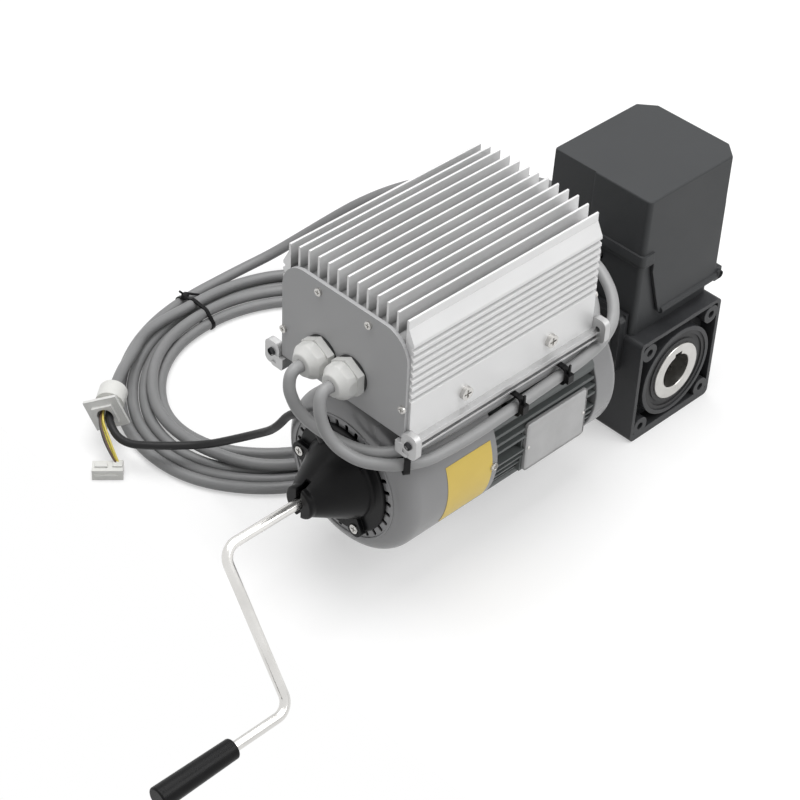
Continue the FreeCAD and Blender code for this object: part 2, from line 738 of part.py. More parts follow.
def motor_housing():
    """Finned stator frame with four bolt bars, a flat for the rating plate and a pad for the saddle."""
    x0 = cowl_rear_x
    x1 = flange_face_x
    tube = rod(frame_r, V(x0, 0, worm_z), V(x1, 0, worm_z))
    fins = []
    side_rows = int(2 * 40 / fin_pitch_motor)
    for i in range(side_rows):
        z = worm_z - 40 + i * fin_pitch_motor
        fins.append(block(x0, x1, -motor_r, motor_r, z - fin_thick / 2, z + fin_thick / 2))
    for i in range(-5, 6):
        y = i * fin_pitch_motor
        fins.append(block(x0, x1, y - fin_thick / 2, y + fin_thick / 2, worm_z - motor_r, worm_z))
    ring = rod(motor_r - 2.5, V(x0, 0, worm_z), V(x1, 0, worm_z))
    finned = Part.makeCompound(fins).common(ring)
    mid = (x0 + x1) / 2
    plate_x = x1 - 8 - plate_pad_length
    pads = [block(plate_x, plate_x + plate_pad_length, 5 - motor_r, 0, worm_z - 29,
                  worm_z - 29 + plate_pad_height),
            rounded(mid - saddle_length / 2, mid + saddle_length / 2, -saddle_w / 2, saddle_w / 2, worm_z,
                    saddle_z, 4)]
    bar_rods = [rod(bar_d / 2, V(x0, y, worm_z + z), V(x1, y, worm_z + z)) for y, z in bars]
    webs = [prism_web(y, z, x0, x1) for y, z in bars]
    body = fuse([tube] + finned.Solids + pads + bar_rods + webs)
    body = body.cut(rod(stator_r, V(x0 - 1, 0, worm_z), V(x1 + 1, 0, worm_z)))
    body = body.cut(block(mid - 14, mid + 14, -14, 14, worm_z, saddle_z + 1))
    for y, z in bars:
        body = body.cut(rod(2.5 + screw_gap, V(x0 - 1, y, worm_z + z), V(x1 + 1, y, worm_z + z)))
    return body


def prism_web(y, z, x0, x1):
    """Web that ties a bolt bar to the round frame."""
    reach = hypot(y, z)
    web = block(x0, x1, 0, reach, worm_z - 4, worm_z + 4)
    web.rotate(V(0, 0, worm_z), X_AXIS, degrees(atan2(z, y)))
    return web


saddle_z = worm_z + frame_r + 6


def tie_bolts():
    bolts = []
    start = shield_x - shield_thick
    length = flange_face_x + 12 - start
    for y, z in bars:
        bolts.append(screw(4.0, 4.0, 2.5, length, V(start, y, worm_z + z), V(1, 0, 0)))
    return group(bolts)


stator_x1 = (cowl_rear_x + flange_face_x) / 2 + stator_length / 2
stator_x0 = stator_x1 - stator_length
shield_x = cowl_rear_x


def stator_core():
    """Laminated core with open slots round the bore."""
    core = pipe(stator_r - press_gap, rotor_d / 2 + air_gap, V(stator_x0, 0, worm_z),
                V(stator_x1, 0, worm_z))
    slots = []
    for i in range(24):
        slot = block(stator_x0 - 1, stator_x1 + 1, rotor_d / 2, rotor_d / 2 + 11, worm_z - 1.6,
                     worm_z + 1.6)
        slot.rotate(V(0, 0, worm_z), X_AXIS, i * 15)
        slots.append(slot)
    return core.cut(Part.makeCompound(slots))


def windings():
    """Rounded end turns on both sides of the core."""
    turns = []
    for x0, x1 in ((stator_x0 - winding_overhang, stator_x0), (stator_x1, stator_x1 + winding_overhang)):
        turns.append(turned_x([(x0, rotor_d / 2 + 2, 4), (x0, stator_r - 3, 4),
                               (x1, stator_r - 3, 0), (x1, rotor_d / 2 + 2, 0)]))
    return group(turns)


def rotor_core():
    core = pipe(rotor_d / 2, shaft_rotor_d / 2 + press_gap, V(stator_x0, 0, worm_z),
                V(stator_x1, 0, worm_z))
    rings = [pipe(rotor_d / 2 - 2, rotor_d / 2 - 9, V(x, 0, worm_z), V(x + 6, 0, worm_z))
             for x in (stator_x0 - 6, stator_x1)]
    return fuse([core] + rings)


def motor_shaft():
    """Motor shaft and worm in one piece, from the worm's end journal to the crank end."""
    x_end = gear_right_x - end_cap_thick - 1
    half = worm_length / 2
    front = [(x_end, 7.5), (x_end - worm_bearing_width - 2, 8.5), (half, 8.5)]
    rear = [(-half, shaft_drive_d / 2), (drive_bearing_x - drive_bearing_width - 1, shaft_rotor_d / 2),
            (stator_x0 - 1, shaft_rear_d / 2), (shield_x - shield_thick - 2, shaft_fan_d / 2),
            (shaft_end_x, 0)]
    solids = [worm()]
    for steps in (front, rear):
        for (x, r), (following, _) in zip(steps, steps[1:]):
            solids.append(rod(r, V(x, 0, worm_z), V(following, 0, worm_z)))
    return fuse(solids)


shaft_end_x = cowl_front_x - 4.0


def worm():
    """Right-hand worm: its cross section, turned a little further at each station along X."""
    flank = tan(radians(20))
    quarter = pi * axial_module / 4 - tooth_backlash
    profile = []
    for start in range(worm_starts):
        middle = start * 360.0 / worm_starts
        rise = []
        for r in (worm_root_r, worm_pitch_r, worm_tip_r):
            rise.append((360.0 * (quarter + (worm_pitch_r - r) * flank) / worm_lead, r))
        profile += [(middle - turn, r) for turn, r in rise]
        profile += [(middle + turn, r) for turn, r in reversed(rise)]
        profile.append((middle + 180.0 / worm_starts, worm_root_r))
    rings = []
    stations = int(360.0 * worm_length / worm_lead / worm_station) + 1
    for i in range(stations + 1):
        x = worm_length * (i / stations - 0.5)
        lead_angle = 360.0 * x / worm_lead - 90.0
        points = [around_x(lead_angle + turn, r, x) for turn, r in profile]
        rings.append(points)
    return skinned(rings)


def bearing_x(x0, x1, outer, inner):
    """Shielded ball bearing on the motor's axis."""
    ring = turned_x([(x0, inner, 0), (x0, outer, 0), (x1, outer, 0), (x1, inner, 0)])
    middle = (outer + inner) / 2
    wide = (outer - inner) / 4
    for low in (x0, x1 - 1):
        ring = ring.cut(turned_x([(low, middle - wide, 0), (low, middle + wide, 0),
                                  (low + 1, middle + wide, 0), (low + 1, middle - wide, 0)]))
    return ring


def worm_bearing():
    x1 = gear_right_x - end_cap_thick - 1
    return bearing_x(x1 - worm_bearing_width, x1, worm_bearing_d / 2 - press_gap, 7.5 + running_gap)


def worm_end_cap():
    """Cap pressed in the open end of the worm tunnel."""
    x1 = gear_right_x
    cap = turned_x([(x1 - end_cap_thick, 0, 0), (x1 - end_cap_thick, worm_bearing_d / 2 - press_gap, 0),
                    (x1, worm_bearing_d / 2 - press_gap, 0), (x1, worm_bearing_d / 2 - 4, 0),
                    (x1 - 1.5, worm_bearing_d / 2 - 5, 0), (x1 - 1.5, 0, 0)])
    return cap


def drive_end_bearing():
    return bearing_x(drive_bearing_x - drive_bearing_width, drive_bearing_x,
                     drive_bearing_d / 2 - press_gap,
                     shaft_drive_d / 2 + running_gap)


def rear_bearing():
    x0 = shield_x - shield_thick
    return bearing_x(x0, x0 + rear_bearing_width, rear_bearing_d / 2 - press_gap,
                     shaft_rear_d / 2 + running_gap)


def rear_end_shield():
    """Cast cover of the stator's rear end with the bearing seat."""
    x0 = shield_x - shield_thick
    r = motor_r - cowl_wall - 0.3
    body = turned_x([(x0, 0, 0), (x0, rear_bearing_d / 2 + 6, 2), (x0 + 5, rear_bearing_d / 2 + 14, 3),
                     (x0 + 5, r, 1),
                     (shield_x, r, 0), (shield_x, 0, 0)])
    body = body.cut(rod(rear_bearing_d / 2, V(x0 - 1, 0, worm_z), V(x0 + rear_bearing_width, 0, worm_z)))
    for y, z in bars:
        body = body.cut(rod(2.5 + screw_gap, V(x0 - 1, y, worm_z + z), V(shield_x + 1, y, worm_z + z)))
        seat = rod(6.0, V(x0, y, worm_z + z), V(shield_x, y, worm_z + z))
        seat = seat.common(rod(r, V(x0, 0, worm_z), V(shield_x, 0, worm_z)))
        body = body.fuse(seat.cut(rod(2.5 + screw_gap, V(x0 - 1, y, worm_z + z),
                                      V(shield_x + 1, y, worm_z + z))))
    for angle in cowl_screw_angles:
        body = body.cut(rod(1.6 + screw_gap, around_x(angle, r - 8, shield_x - 4),
                            around_x(angle, r + 5, shield_x - 4)))
    return body.removeSplitter()


cowl_screw_angles = [0, 90, 180, 270]
fan_x1 = shield_x - shield_thick - 8
fan_x0 = cowl_front_x + 14


def cooling_fan():
    """Radial fan: hub, back disc and straight blades that fill the cowl's depth."""
    hub = pipe(shaft_fan_d / 2 + 6, shaft_fan_d / 2 + press_gap, V(fan_x0, 0, worm_z), V(fan_x1, 0, worm_z))
    disc = pipe(fan_d / 2, shaft_fan_d / 2 + 4, V(fan_x1 - 3, 0, worm_z), V(fan_x1, 0, worm_z))
    blades = []
    for i in range(fan_blades):
        blade = block(fan_x0 + 6, fan_x1 - 2, shaft_fan_d / 2 + 4, fan_d / 2 - 1, worm_z - 1.2,
                      worm_z + 1.2)
        blade.rotate(V(0, 0, worm_z), X_AXIS, i * 360.0 / fan_blades)
        blades.append(blade)
    return fuse([hub, disc] + blades)


def fan_cowl():
    """Deep-drawn sheet cowl with a round shoulder, an air grille in its front and the crank's hole."""
    x0 = cowl_front_x
    x1 = cowl_rear_x
    t = cowl_wall
    shell = turned_x([(x0, shaft_fan_d / 2 + 6, 0), (x0, motor_r, cowl_shoulder), (x1, motor_r, 0),
                      (x1, motor_r - t, 0), (x0 + t, motor_r - t, cowl_shoulder - t),
                      (x0 + t, shaft_fan_d / 2 + 6, 0)])
    grille_r = motor_r - cowl_shoulder
    bead = turned_x([(x0 - 0.9, grille_r - 0.4, 0.4), (x0 - 0.9, grille_r + 1.4, 0.4),
                     (x0 + 0.6, grille_r + 1.4, 0), (x0 + 0.6, grille_r - 0.4, 0)])
    shell = fuse([shell, bead])
    slots = []
    inner = funnel_disc_d / 2 - 3
    outer = grille_r - 1.5
    for i in range(vent_slots):
        slot = rounded(x0 - 1, x0 + t + 1, inner, outer, worm_z - 1.7, worm_z + 1.7, 1.5, "x")
        slot.rotate(V(0, 0, worm_z), X_AXIS, funnel_angles[0] + (i + 0.5) * 360.0 / vent_slots)
        slots.append(slot)
    shell = shell.cut(Part.makeCompound(slots))
    for angle in funnel_angles:
        place = around_x(angle, funnel_lobe_radius)
        shell = shell.cut(rod(1.9 + screw_gap, V(x0 - 1, place.y, place.z), V(x0 + 3, place.y, place.z)))
    for angle in cowl_screw_angles:
        shell = shell.cut(rod(1.6 + screw_gap, around_x(angle, 50, shield_x - 4),
                              around_x(angle, 70, shield_x - 4)))
    return shell


# Hand crank

funnel_angles = [2.0, 122.0, 242.0]


def crank_funnel():
    """Black funnel that guides the crank: three screwed lobes, a cone and a slotted nose."""
    x0 = cowl_front_x
    base_r = funnel_base_d / 2
    nose_r = nose_d / 2
    disc_r = funnel_disc_d / 2
    disc_x = x0 - funnel_disc_thick
    cone = turned_x([(x0, 0, 0), (x0, disc_r, 0), (disc_x, disc_r, 1), (disc_x, base_r, 2),
                     (x0 - 6, base_r - 1, 2), (nose_tip_x + 5, nose_r, 3), (nose_tip_x, nose_r, 2),
                     (nose_tip_x, 0, 0)])
    lobes = []
    for angle in funnel_angles:
        place = around_x(angle, funnel_lobe_radius)
        ear = rod(funnel_lobe_d / 2, V(x0 - funnel_lobe_thick, place.y, place.z), V(x0, place.y, place.z))
        arm = block(x0 - funnel_lobe_thick, x0, 0, funnel_lobe_radius, worm_z - funnel_lobe_d / 2,
                    worm_z + funnel_lobe_d / 2)
        arm.rotate(V(0, 0, worm_z), X_AXIS, angle)
        rib = prism([(x0 - funnel_lobe_thick, funnel_lobe_radius - 8, 0), (x0 - funnel_lobe_thick, 8, 0),
                     (nose_tip_x + 16, 8, 0)], lambda u, v: V(u, v, worm_z - 3), V(0, 0, 6))
        rib.rotate(V(0, 0, worm_z), X_AXIS, angle)
        lobes += [ear, arm, rib]
    body = fuse([cone] + lobes)
    t = funnel_wall
    hollow = turned_x([(x0 + 1, 0, 0), (x0 + 1, base_r - t, 0), (x0 - 6, base_r - 1 - t, 2),
                       (nose_tip_x + 5, nose_r - t, 0), (nose_tip_x + t, nose_r - t, 0),
                       (nose_tip_x + t, 0, 0)])
    body = body.cut(hollow)
    body = body.cut(rod(rod_d / 2 + free_gap, V(nose_tip_x - 1, 0, worm_z), V(x0, 0, worm_z)))
    cut_w = cross_pin_d + 4 * free_gap
    cross = block(nose_tip_x - 1, nose_tip_x + nose_slot_depth, -cut_w / 2, cut_w / 2, worm_z - nose_d,
                  worm_z + nose_d)
    body = body.cut(cross)
    for angle in funnel_angles:
        place = around_x(angle, funnel_lobe_radius)
        body = body.cut(rod(1.9 + screw_gap, V(x0 - 20, place.y, place.z), V(x0 + 1, place.y, place.z)))
        body = body.cut(rod(4.3, V(x0 - 20, place.y, place.z),
                            V(x0 - funnel_lobe_thick + 1.5, place.y, place.z)))
    return body.cut(rod(switch_d / 2 + 0.3, switch_exit + switch_way * 5, switch_exit - switch_way * 14))


switch_d = 6.5
switch_way = V(0, cos(radians(60)), sin(radians(60)))
switch_exit = V(cowl_front_x - 6.0, 0, worm_z) + switch_way * (funnel_base_d / 2 - 1)


def funnel_screws():
    screws = []
    for angle in funnel_angles:
        place = around_x(angle, funnel_lobe_radius)
        seat = V(cowl_front_x - funnel_lobe_thick + 1.5, place.y, place.z)
        screws.append(screw(3.8, 2.4, 1.9, funnel_lobe_thick + 2, seat, V(1, 0, 0)))
    return group(screws)


socket_x = shaft_end_x - 12.0
rod_tip_x = shaft_end_x - 0.5


def crank_socket():
    """Sleeve on the shaft's end that takes the crank's tip and cross pin."""
    body = turned_x([(socket_x, 0, 0), (socket_x, 9, 1), (cowl_front_x + 3, 9, 1),
                     (cowl_front_x + 3, 0, 0)])
    body = body.cut(rod(shaft_fan_d / 2 + press_gap, V(shaft_end_x, 0, worm_z), V(0, 0, worm_z)))
    body = body.cut(rod(rod_d / 2 + running_gap, V(socket_x - 1, 0, worm_z), V(shaft_end_x + 1, 0, worm_z)))
    half = cross_pin_d / 2 + free_gap
    return body.cut(block(socket_x - 1, socket_x + 6, -half, half, worm_z - 10, worm_z + 10))


arm_y = -crank_arm * sin(radians(crank_angle))
arm_z = worm_z - crank_arm * cos(radians(crank_angle))


def crank_rod():
    """One bent bar: shaft end with its cross pin, arm and handle end."""
    route = [V(rod_tip_x, 0, worm_z), V(crank_bend_x, 0, worm_z), V(crank_bend_x, arm_y, arm_z),
             V(grip_start_x - grip_length + 8, arm_y, arm_z)]
    bar = cord(route, rod_d, "crank_rod", crank_bend_radius)
    half = cross_pin_length / 2
    pin = rod(cross_pin_d / 2, V(socket_x + 3, 0, worm_z - half), V(socket_x + 3, 0, worm_z + half))
    return fuse([bar, pin])


def crank_grip():
    """Loose plastic grip, a little thicker at its end."""
    x0 = grip_start_x - grip_length
    r = grip_d / 2
    section = outline([(x0, 0, 0), (x0, r, 1.5), (grip_start_x, r - 1.0, 1.5), (grip_start_x, 0, 0)],
                      lambda x, d: V(x, arm_y + d, arm_z))
    body = Part.Face(section).revolve(V(0, arm_y, arm_z), X_AXIS, 360)
    return body.cut(rod(rod_d / 2 + running_gap, V(x0 + 7.5, arm_y, arm_z),
                        V(grip_start_x + 1, arm_y, arm_z)))


# Inverter

def sink_outline(half, top, bottom, r):
    return [(-half, bottom, 0), (half, bottom, 0), (half, top, r), (-half, top, r)]


def heat_sink():
    """Extruded housing: fins on top, fine ribs down the sides and plain flanges at the foot."""
    length = V(sink_rear_x - sink_front_x, 0, 0)

    def place(u, v):
        return V(sink_front_x, u, v)

    body = prism(sink_outline(sink_half_w, sink_body_top_z, sink_bottom_z, sink_shoulder), place, length)
    middle = (fin_count - 1) / 2
    fins = []
    for i in range(fin_count):
        y = (i - middle) * fin_pitch
        outward = max(0, abs(i - middle) - (middle - 2))
        tip = fin_tip_z - outward * fin_step
        half = sink_fin_thick / 2
        fins.append(prism([(y - half, sink_body_top_z - sink_shoulder, 0),
                           (y + half, sink_body_top_z - sink_shoulder, 0),
                           (y + half * 0.7, tip, 0.6), (y - half * 0.7, tip, 0.6)], place, length))
    cheeks = []
    for side in (-1, 1):
        inner = side * middle * fin_pitch
        cheeks.append(prism([(inner, sink_body_top_z - sink_shoulder - 2, 0),
                             (side * sink_half_w, sink_body_top_z - sink_shoulder - 2, 0),
                             (side * sink_half_w, cheek_edge_z, 2),
                             (inner + side * sink_fin_thick * 0.42, cheek_top_z, 0), (inner, cheek_top_z, 0)],
                            place, length))
    body = fuse([body] + fins + cheeks)
    cuts = []
    for side in (-1, 1):
        for i in range(rib_count):
            z = rib_low_z + (i + 0.5) * rib_pitch
            edge = side * sink_half_w
            cuts.append(prism([(edge + side, z - rib_pitch * 0.36, 0),
                               (edge - side * rib_depth, z - rib_pitch * 0.16, 0),
                               (edge - side * rib_depth, z + rib_pitch * 0.16, 0),
                               (edge + side, z + rib_pitch * 0.36, 0)],
                              place, length))
    body = body.cut(Part.makeCompound(cuts))
    half = sink_half_w - sink_wall
    cavity = prism(sink_outline(half, sink_body_top_z - sink_roof, sink_bottom_z - 1,
                                sink_shoulder - sink_wall), place, length)
    body = body.cut(cavity)
    for x, side in flange_screw_places():
        body = body.cut(rod(2.4 + screw_gap, V(x, 0, flange_screw_z), V(x, side * 80, flange_screw_z)))
    return body


def flange_screw_places():
    middle = sink_mid_x + 3.5
    return [(middle + sx * flange_screw_span / 2, side) for sx in (-1, 1) for side in (-1, 1)]


def saddle_screw_places():
    mid = (cowl_rear_x + flange_face_x) / 2
    half_x = saddle_length / 2 - 8
    half_y = saddle_w / 2 - 8
    return [(mid + sx * half_x, sy * half_y) for sx in (-1, 1) for sy in (-1, 1)]


def flange_screws():
    """Eight like screws: four through the flanges and four through the tray into the saddle."""
    screws = []
    for x, side in flange_screw_places():
        seat = V(x, side * sink_half_w, flange_screw_z)
        screws.append(screw(5.2, 3.2, 2.4, sink_wall + tray_thick + 3, seat, V(0, -side, 0)))
    for x, y in saddle_screw_places():
        seat = V(x, y, sink_bottom_z + tray_thick)
        screws.append(screw(5.2, 3.2, 2.4, sink_wall + tray_thick + 3, seat, -Z_AXIS))
    return group(screws)


def inverter_tray():
    """Folded bottom plate with upright flanges that the flange screws pull on."""
    half = sink_half_w - sink_wall - press_gap
    x0 = sink_front_x
    x1 = sink_rear_x
    floor = block(x0, x1, -half, half, sink_bottom_z, sink_bottom_z + tray_thick)
    sides = []
    for side in (-1, 1):
        low, high = sorted((side * half, side * (half - tray_thick)))
        sides.append(block(x0, x1, low, high, sink_bottom_z, sink_bottom_z + tray_flange))
    body = fuse([floor] + sides)
    for x, side in flange_screw_places():
        body = body.cut(rod(2.4 + screw_gap, V(x, 0, flange_screw_z), V(x, side * 80, flange_screw_z)))
    mid = (cowl_rear_x + flange_face_x) / 2
    for x, y in saddle_screw_places():
        body = body.cut(rod(2.4 + screw_gap, V(x, y, sink_bottom_z - 1), V(x, y, sink_bottom_z + 9)))
    return body.cut(block(mid - 14, mid + 14, -14, 14, sink_bottom_z - 1, sink_bottom_z + 9))


def inverter_saddle():
    """Cast pedestal between the motor's pad and the inverter, hollow for the motor wires."""
    mid = (cowl_rear_x + flange_face_x) / 2
    body = rounded(mid - saddle_length / 2, mid + saddle_length / 2, -saddle_w / 2, saddle_w / 2,
                   saddle_z, sink_bottom_z, 6)
    body = body.cut(block(mid - 16, mid + 16, -16, 16, saddle_z - 1, sink_bottom_z + 1))
    for x, y in saddle_screw_places():
        body = body.cut(rod(2.4 + screw_gap, V(x, y, sink_bottom_z - 11), V(x, y, sink_bottom_z + 1)))
    return body


def end_plate(x, with_glands):
    """Sheet end plate with rounded top corners, a little smaller than the extrusion."""
    half = sink_half_w - end_plate_inset
    points = sink_outline(half, sink_body_top_z + 2.5, sink_bottom_z + 1, sink_shoulder)
    plate = prism(points, lambda u, v: V(x, u, v), V(end_plate_thick, 0, 0))
    for y, z in plate_screw_places():
        plate = plate.cut(rod(1.9 + screw_gap, V(x - 1, y, z), V(x + end_plate_thick + 1, y, z)))
    if with_glands:
        for y in gland_places():
            plate = plate.cut(rod(10 + screw_gap, V(x - 1, y, gland_z),
                                  V(x + end_plate_thick + 1, y, gland_z)))
    return plate


def plate_screw_places():
    low = sink_half_w - sink_wall / 2 - 2.2
    high = sink_body_top_z - sink_roof / 2
    return [(-24.5, high), (24.5, high), (-low, gland_z - 1), (low, gland_z - 1)]


def plate_screws():
    screws = []
    for y, z in plate_screw_places():
        screws.append(screw(3.0, 1.8, 1.9, end_plate_thick, V(front_plate_x, y, z), V(1, 0, 0)))
        screws.append(screw(3.0, 1.8, 1.9, end_plate_thick, V(rear_plate_x, y, z), V(-1, 0, 0)))
    return group(screws)


def base_rail(side):
    """Slotted rail under one flange, open towards the outside."""
    y_out = side * rail_side_y
    y_in = y_out - side * rail_w
    top = sink_bottom_z
    x0 = sink_front_x - end_plate_thick - rail_overhang
    x1 = sink_rear_x + end_plate_thick + rail_overhang
    low = rail_low_z
    section = [(y_in, top, 0), (y_in, low, 2), (y_out, low, 2), (y_out, low + 3.2, 0),
               (y_out - side * 5, low + 3.2, 0),
               (y_out - side * 5, low + 6.4, 0), (y_out, low + 6.4, 0), (y_out, top, 0)]
    rail = prism(section, lambda u, v: V(x0, u, v), V(x1 - x0, 0, 0))
    y = side * lug_y
    ends = ((x0 + 1, sink_front_x - 0.2), (sink_rear_x + 0.2, x1 - 1))
    lugs = [rounded(a, b, *sorted((y - side * lug_w / 2, y + side * lug_w / 2)), low, low + lug_h, 5, "x")
            for a, b in ends]
    rail = fuse([rail] + lugs)
    z = low + lug_h / 2 + 1
    for a, b in ends:
        rail = rail.cut(rod(rail_hole_d / 2, V(a - 5, y, z), V(b + 5, y, z)))
    return rail


def gland_places():
    return [gland_y + gland_spacing / 2, gland_y - gland_spacing / 2]


gland_hex_x = front_plate_x - 1.5
gland_exit_x = gland_hex_x - gland_hex - gland_cap_length


def gland_washers():
    return group([pipe(gland_af / 2 + 1.2, 10 + press_gap, V(gland_hex_x, y, gland_z),
                       V(front_plate_x, y, gland_z))
                  for y in gland_places()])


def gland_bodies():
    bodies = []
    for y in gland_places():
        hexagon = hex_bar(gland_af, V(gland_hex_x, y, gland_z), V(-gland_hex, 0, 0))
        thread = rod(10, V(gland_hex_x, y, gland_z), V(sink_front_x + 6, y, gland_z))
        body = fuse([hexagon, thread])
        bodies.append(body.cut(rod(lead_d / 2 + 0.1, V(gland_hex_x - 50, y, gland_z),
                                   V(sink_front_x + 9, y, gland_z))))
    return group(bodies)


def gland_caps():
    """Domed caps with flats, drawn down on the leads."""
    caps = []
    start = gland_hex_x - gland_hex
    for y in gland_places():
        points = [(start, 0, 0), (start, gland_af * 0.52, 1), (start - 7, gland_af * 0.5, 2),
                  (gland_exit_x, 8.5, 2), (gland_exit_x, 0, 0)]
        section = outline(points, lambda x, d, y=y: V(x, y + d, gland_z))
        dome = Part.Face(section).revolve(V(0, y, gland_z), X_AXIS, 360)
        flats = hex_bar(gland_af * 0.95, V(start + 1, y, gland_z), V(-gland_cap_length - 3, 0, 0))
        dome = dome.common(flats)
        caps.append(dome.cut(rod(lead_d / 2 + 0.1, V(gland_exit_x - 2, y, gland_z),
                                 V(start + 2, y, gland_z))))
    return group(caps)


def power_board():
    """Inverter board on four posts, with its relays and terminal row."""
    z = sink_bottom_z + tray_thick + 12
    x0 = sink_front_x + 20
    x1 = sink_rear_x - 14
    half = sink_half_w - sink_wall - tray_thick - 8
    board = block(x0, x1, -half, half, z, z + 1.6)
    posts = [rod(3.0, V(x, y, sink_bottom_z + tray_thick), V(x, y, z))
             for x in (x0 + 6, x1 - 6) for y in (5 - half, half - 5)]
    parts = [block(x0 + 10 + 16 * i, x0 + 22 + 16 * i, -40, -18, z + 1.6, z + 17) for i in range(3)]
    parts += [block(x0 + 8, x0 + 20, 0, 40, z + 1.6, z + 14)]
    return fuse([board] + posts + parts)


def capacitors():
    z = sink_bottom_z + tray_thick + 13.6
    return [rod(11.0, V(sink_rear_x - back, y, z), V(sink_rear_x - back, y, z + 30))
            for back in (62.5, 37.5) for y in (14.0, 39.0)]


# Cables

def motor_lead():
    """Lead of the front gland: down past the foot, along the rail, round to the base."""
    y = gland_places()[1]
    x = gland_exit_x
    side = -rail_side_y
    low = rail_low_z
    entry_y, entry_z = lead_entries[0]
    drop = [V(x + 4, y, gland_z), V(x - 9, y, gland_z), V(x - 14, y - 4, gland_z - 12),
            V(x - 13, y - 9, gland_z - 27),
            V(x - 8, y - 17, gland_z - 40)]
    run = [V(x + 1, side + 29, low - 12), V(x + 16, side + 12, low - 14), V(x + 38, side + 1, low - 15),
           V(x + 76, side - 2, low - 14.5), V(x + 116, side - 2.5, low - 12)]
    x = sink_rear_x
    run += [V(x - 52.5, side - 2, low - 10), V(x - 18.5, side - 1, low - 9),
            V(x + 9.5, side + 2, low - 7.5),
            V(x + 30.5, side + 9, low - 2)]
    x = gear_left_x
    rise = [V(x - 36, side + 23, low + 8), V(x - 30, side + 41, low + 17),
            V(x - 24, entry_y - 14, entry_z + 17),
            V(x - 14, entry_y - 3, entry_z + 7), V(x - 4, entry_y, entry_z), V(x + 4.5, entry_y, entry_z)]
    return cord(drop + run + rise, lead_d, "motor_lead")


def encoder_lead():
    """Lead of the left gland: behind the front lead to the foot, then beside it to the base."""
    y = gland_places()[0]
    x = gland_exit_x
    side = -rail_side_y
    low = rail_low_z
    entry_y, entry_z = lead_entries[1]
    drop = [V(x + 4, y, gland_z), V(x - 9, y, gland_z), V(x - 13, y - 2, gland_z - 12),
            V(x - 11, y - 8, gland_z - 27),
            V(x - 4, y - 16, gland_z - 40)]
    run = [V(x + 3, side + 59, low - 11), V(x + 8, side + 41, low - 12.5), V(x + 16, side + 23, low - 10),
           V(x + 34, side + 11, low - 7.4), V(x + 70, side + 8, low - 6.8),
           V(x + 110, side + 7.5, low - 6.8)]
    x = sink_rear_x
    run += [V(x - 60.5, side + 7.5, low - 6.8), V(x - 24.5, side + 8, low - 6.8),
            V(x + 5.5, side + 12, low - 5.8),
            V(x + 24.5, side + 22, low)]
    x = gear_left_x
    rise = [V(x - 45, side + 39, low + 10), V(x - 40, entry_y - 33, entry_z + 17),
            V(x - 31, entry_y - 14, entry_z + 15),
            V(x - 18, entry_y - 3, entry_z + 6), V(x - 6, entry_y, entry_z), V(x + 4.5, entry_y, entry_z)]
    return cord(drop + run + rise, lead_d, "encoder_lead")


def tie_loop(centre, half_y, half_z, way, thick=1.6, width=4.5):
    """Flat tie round a bundle along X, with its locking head on the minus Y side; way turns it about Z."""
    outer = rounded(-width / 2, width / 2, -half_y - thick, half_y + thick, -half_z - thick,
                    half_z + thick, 4.0, "x")
    inner = rounded(-width, width, -half_y, half_y, -half_z, half_z, 3.0, "x")
    edge = -half_y - thick
    head = block(-width / 2 - 0.8, width / 2 + 0.8, edge - 3.5, edge + 0.5, -3.5, 3.5)
    tail = block(-0.8, 0.8, edge - 2.0, edge - 0.5, 2.0, 12.0)
    tie = fuse([outer.cut(inner), head, tail])
    tie.rotate(V(), Z_AXIS, way)
    tie.translate(centre)
    return tie


def bundle_tie(x, motor_y, motor_z, encoder_y, encoder_z, way):
    """Tie that holds the two leads together under the rail."""
    slack = lead_d / 2 + 0.2
    half_y = (encoder_y - motor_y) / 2 + slack
    half_z = (encoder_z - motor_z) / 2 + slack
    return tie_loop(V(x, (motor_y + encoder_y) / 2, (motor_z + encoder_z) / 2), half_y, half_z, way)


def lead_ties():
    side = -rail_side_y
    low = rail_low_z
    return group([bundle_tie(gland_exit_x + 26, side + 7.3, low - 14.4, side + 16.0, low - 8.1, 150),
                  bundle_tie(sink_rear_x - 86.5, side - 2.4, low - 11.7, side + 7.5, low - 6.8, 0),
                  bundle_tie(sink_rear_x - 38.5, side - 1.6, low - 9.6, side + 7.8, low - 6.4, 1)])


def coil_point(angle, radius, z):
    a = radians(angle)
    return V(coil_x + radius * cos(a), coil_y + radius * sin(a), z)


coil_z = floor_z + coil_height / 2


def cable_coil():
    """The cable's hank as one ring of its outer shape, lying flat."""
    low = floor_z
    high = floor_z + coil_height
    r0 = coil_mean_r - coil_band / 2
    r1 = coil_mean_r + coil_band / 2
    section = outline([(r0, low, 7), (r1, low, 7), (r1, high, 7), (r0, high, 7)],
                      lambda r, z: V(coil_x + r, coil_y, z))
    return Part.Face(section).revolve(V(coil_x, coil_y, 0), Z_AXIS, 360)


def coil_tie():
    """Tie wrapped once round the hank."""
    half_y = coil_band / 2 + 0.3
    half_z = coil_height / 2 + 0.3
    return tie_loop(coil_point(91, coil_mean_r, coil_z), half_y, half_z, 181, 1.4, 3.0)


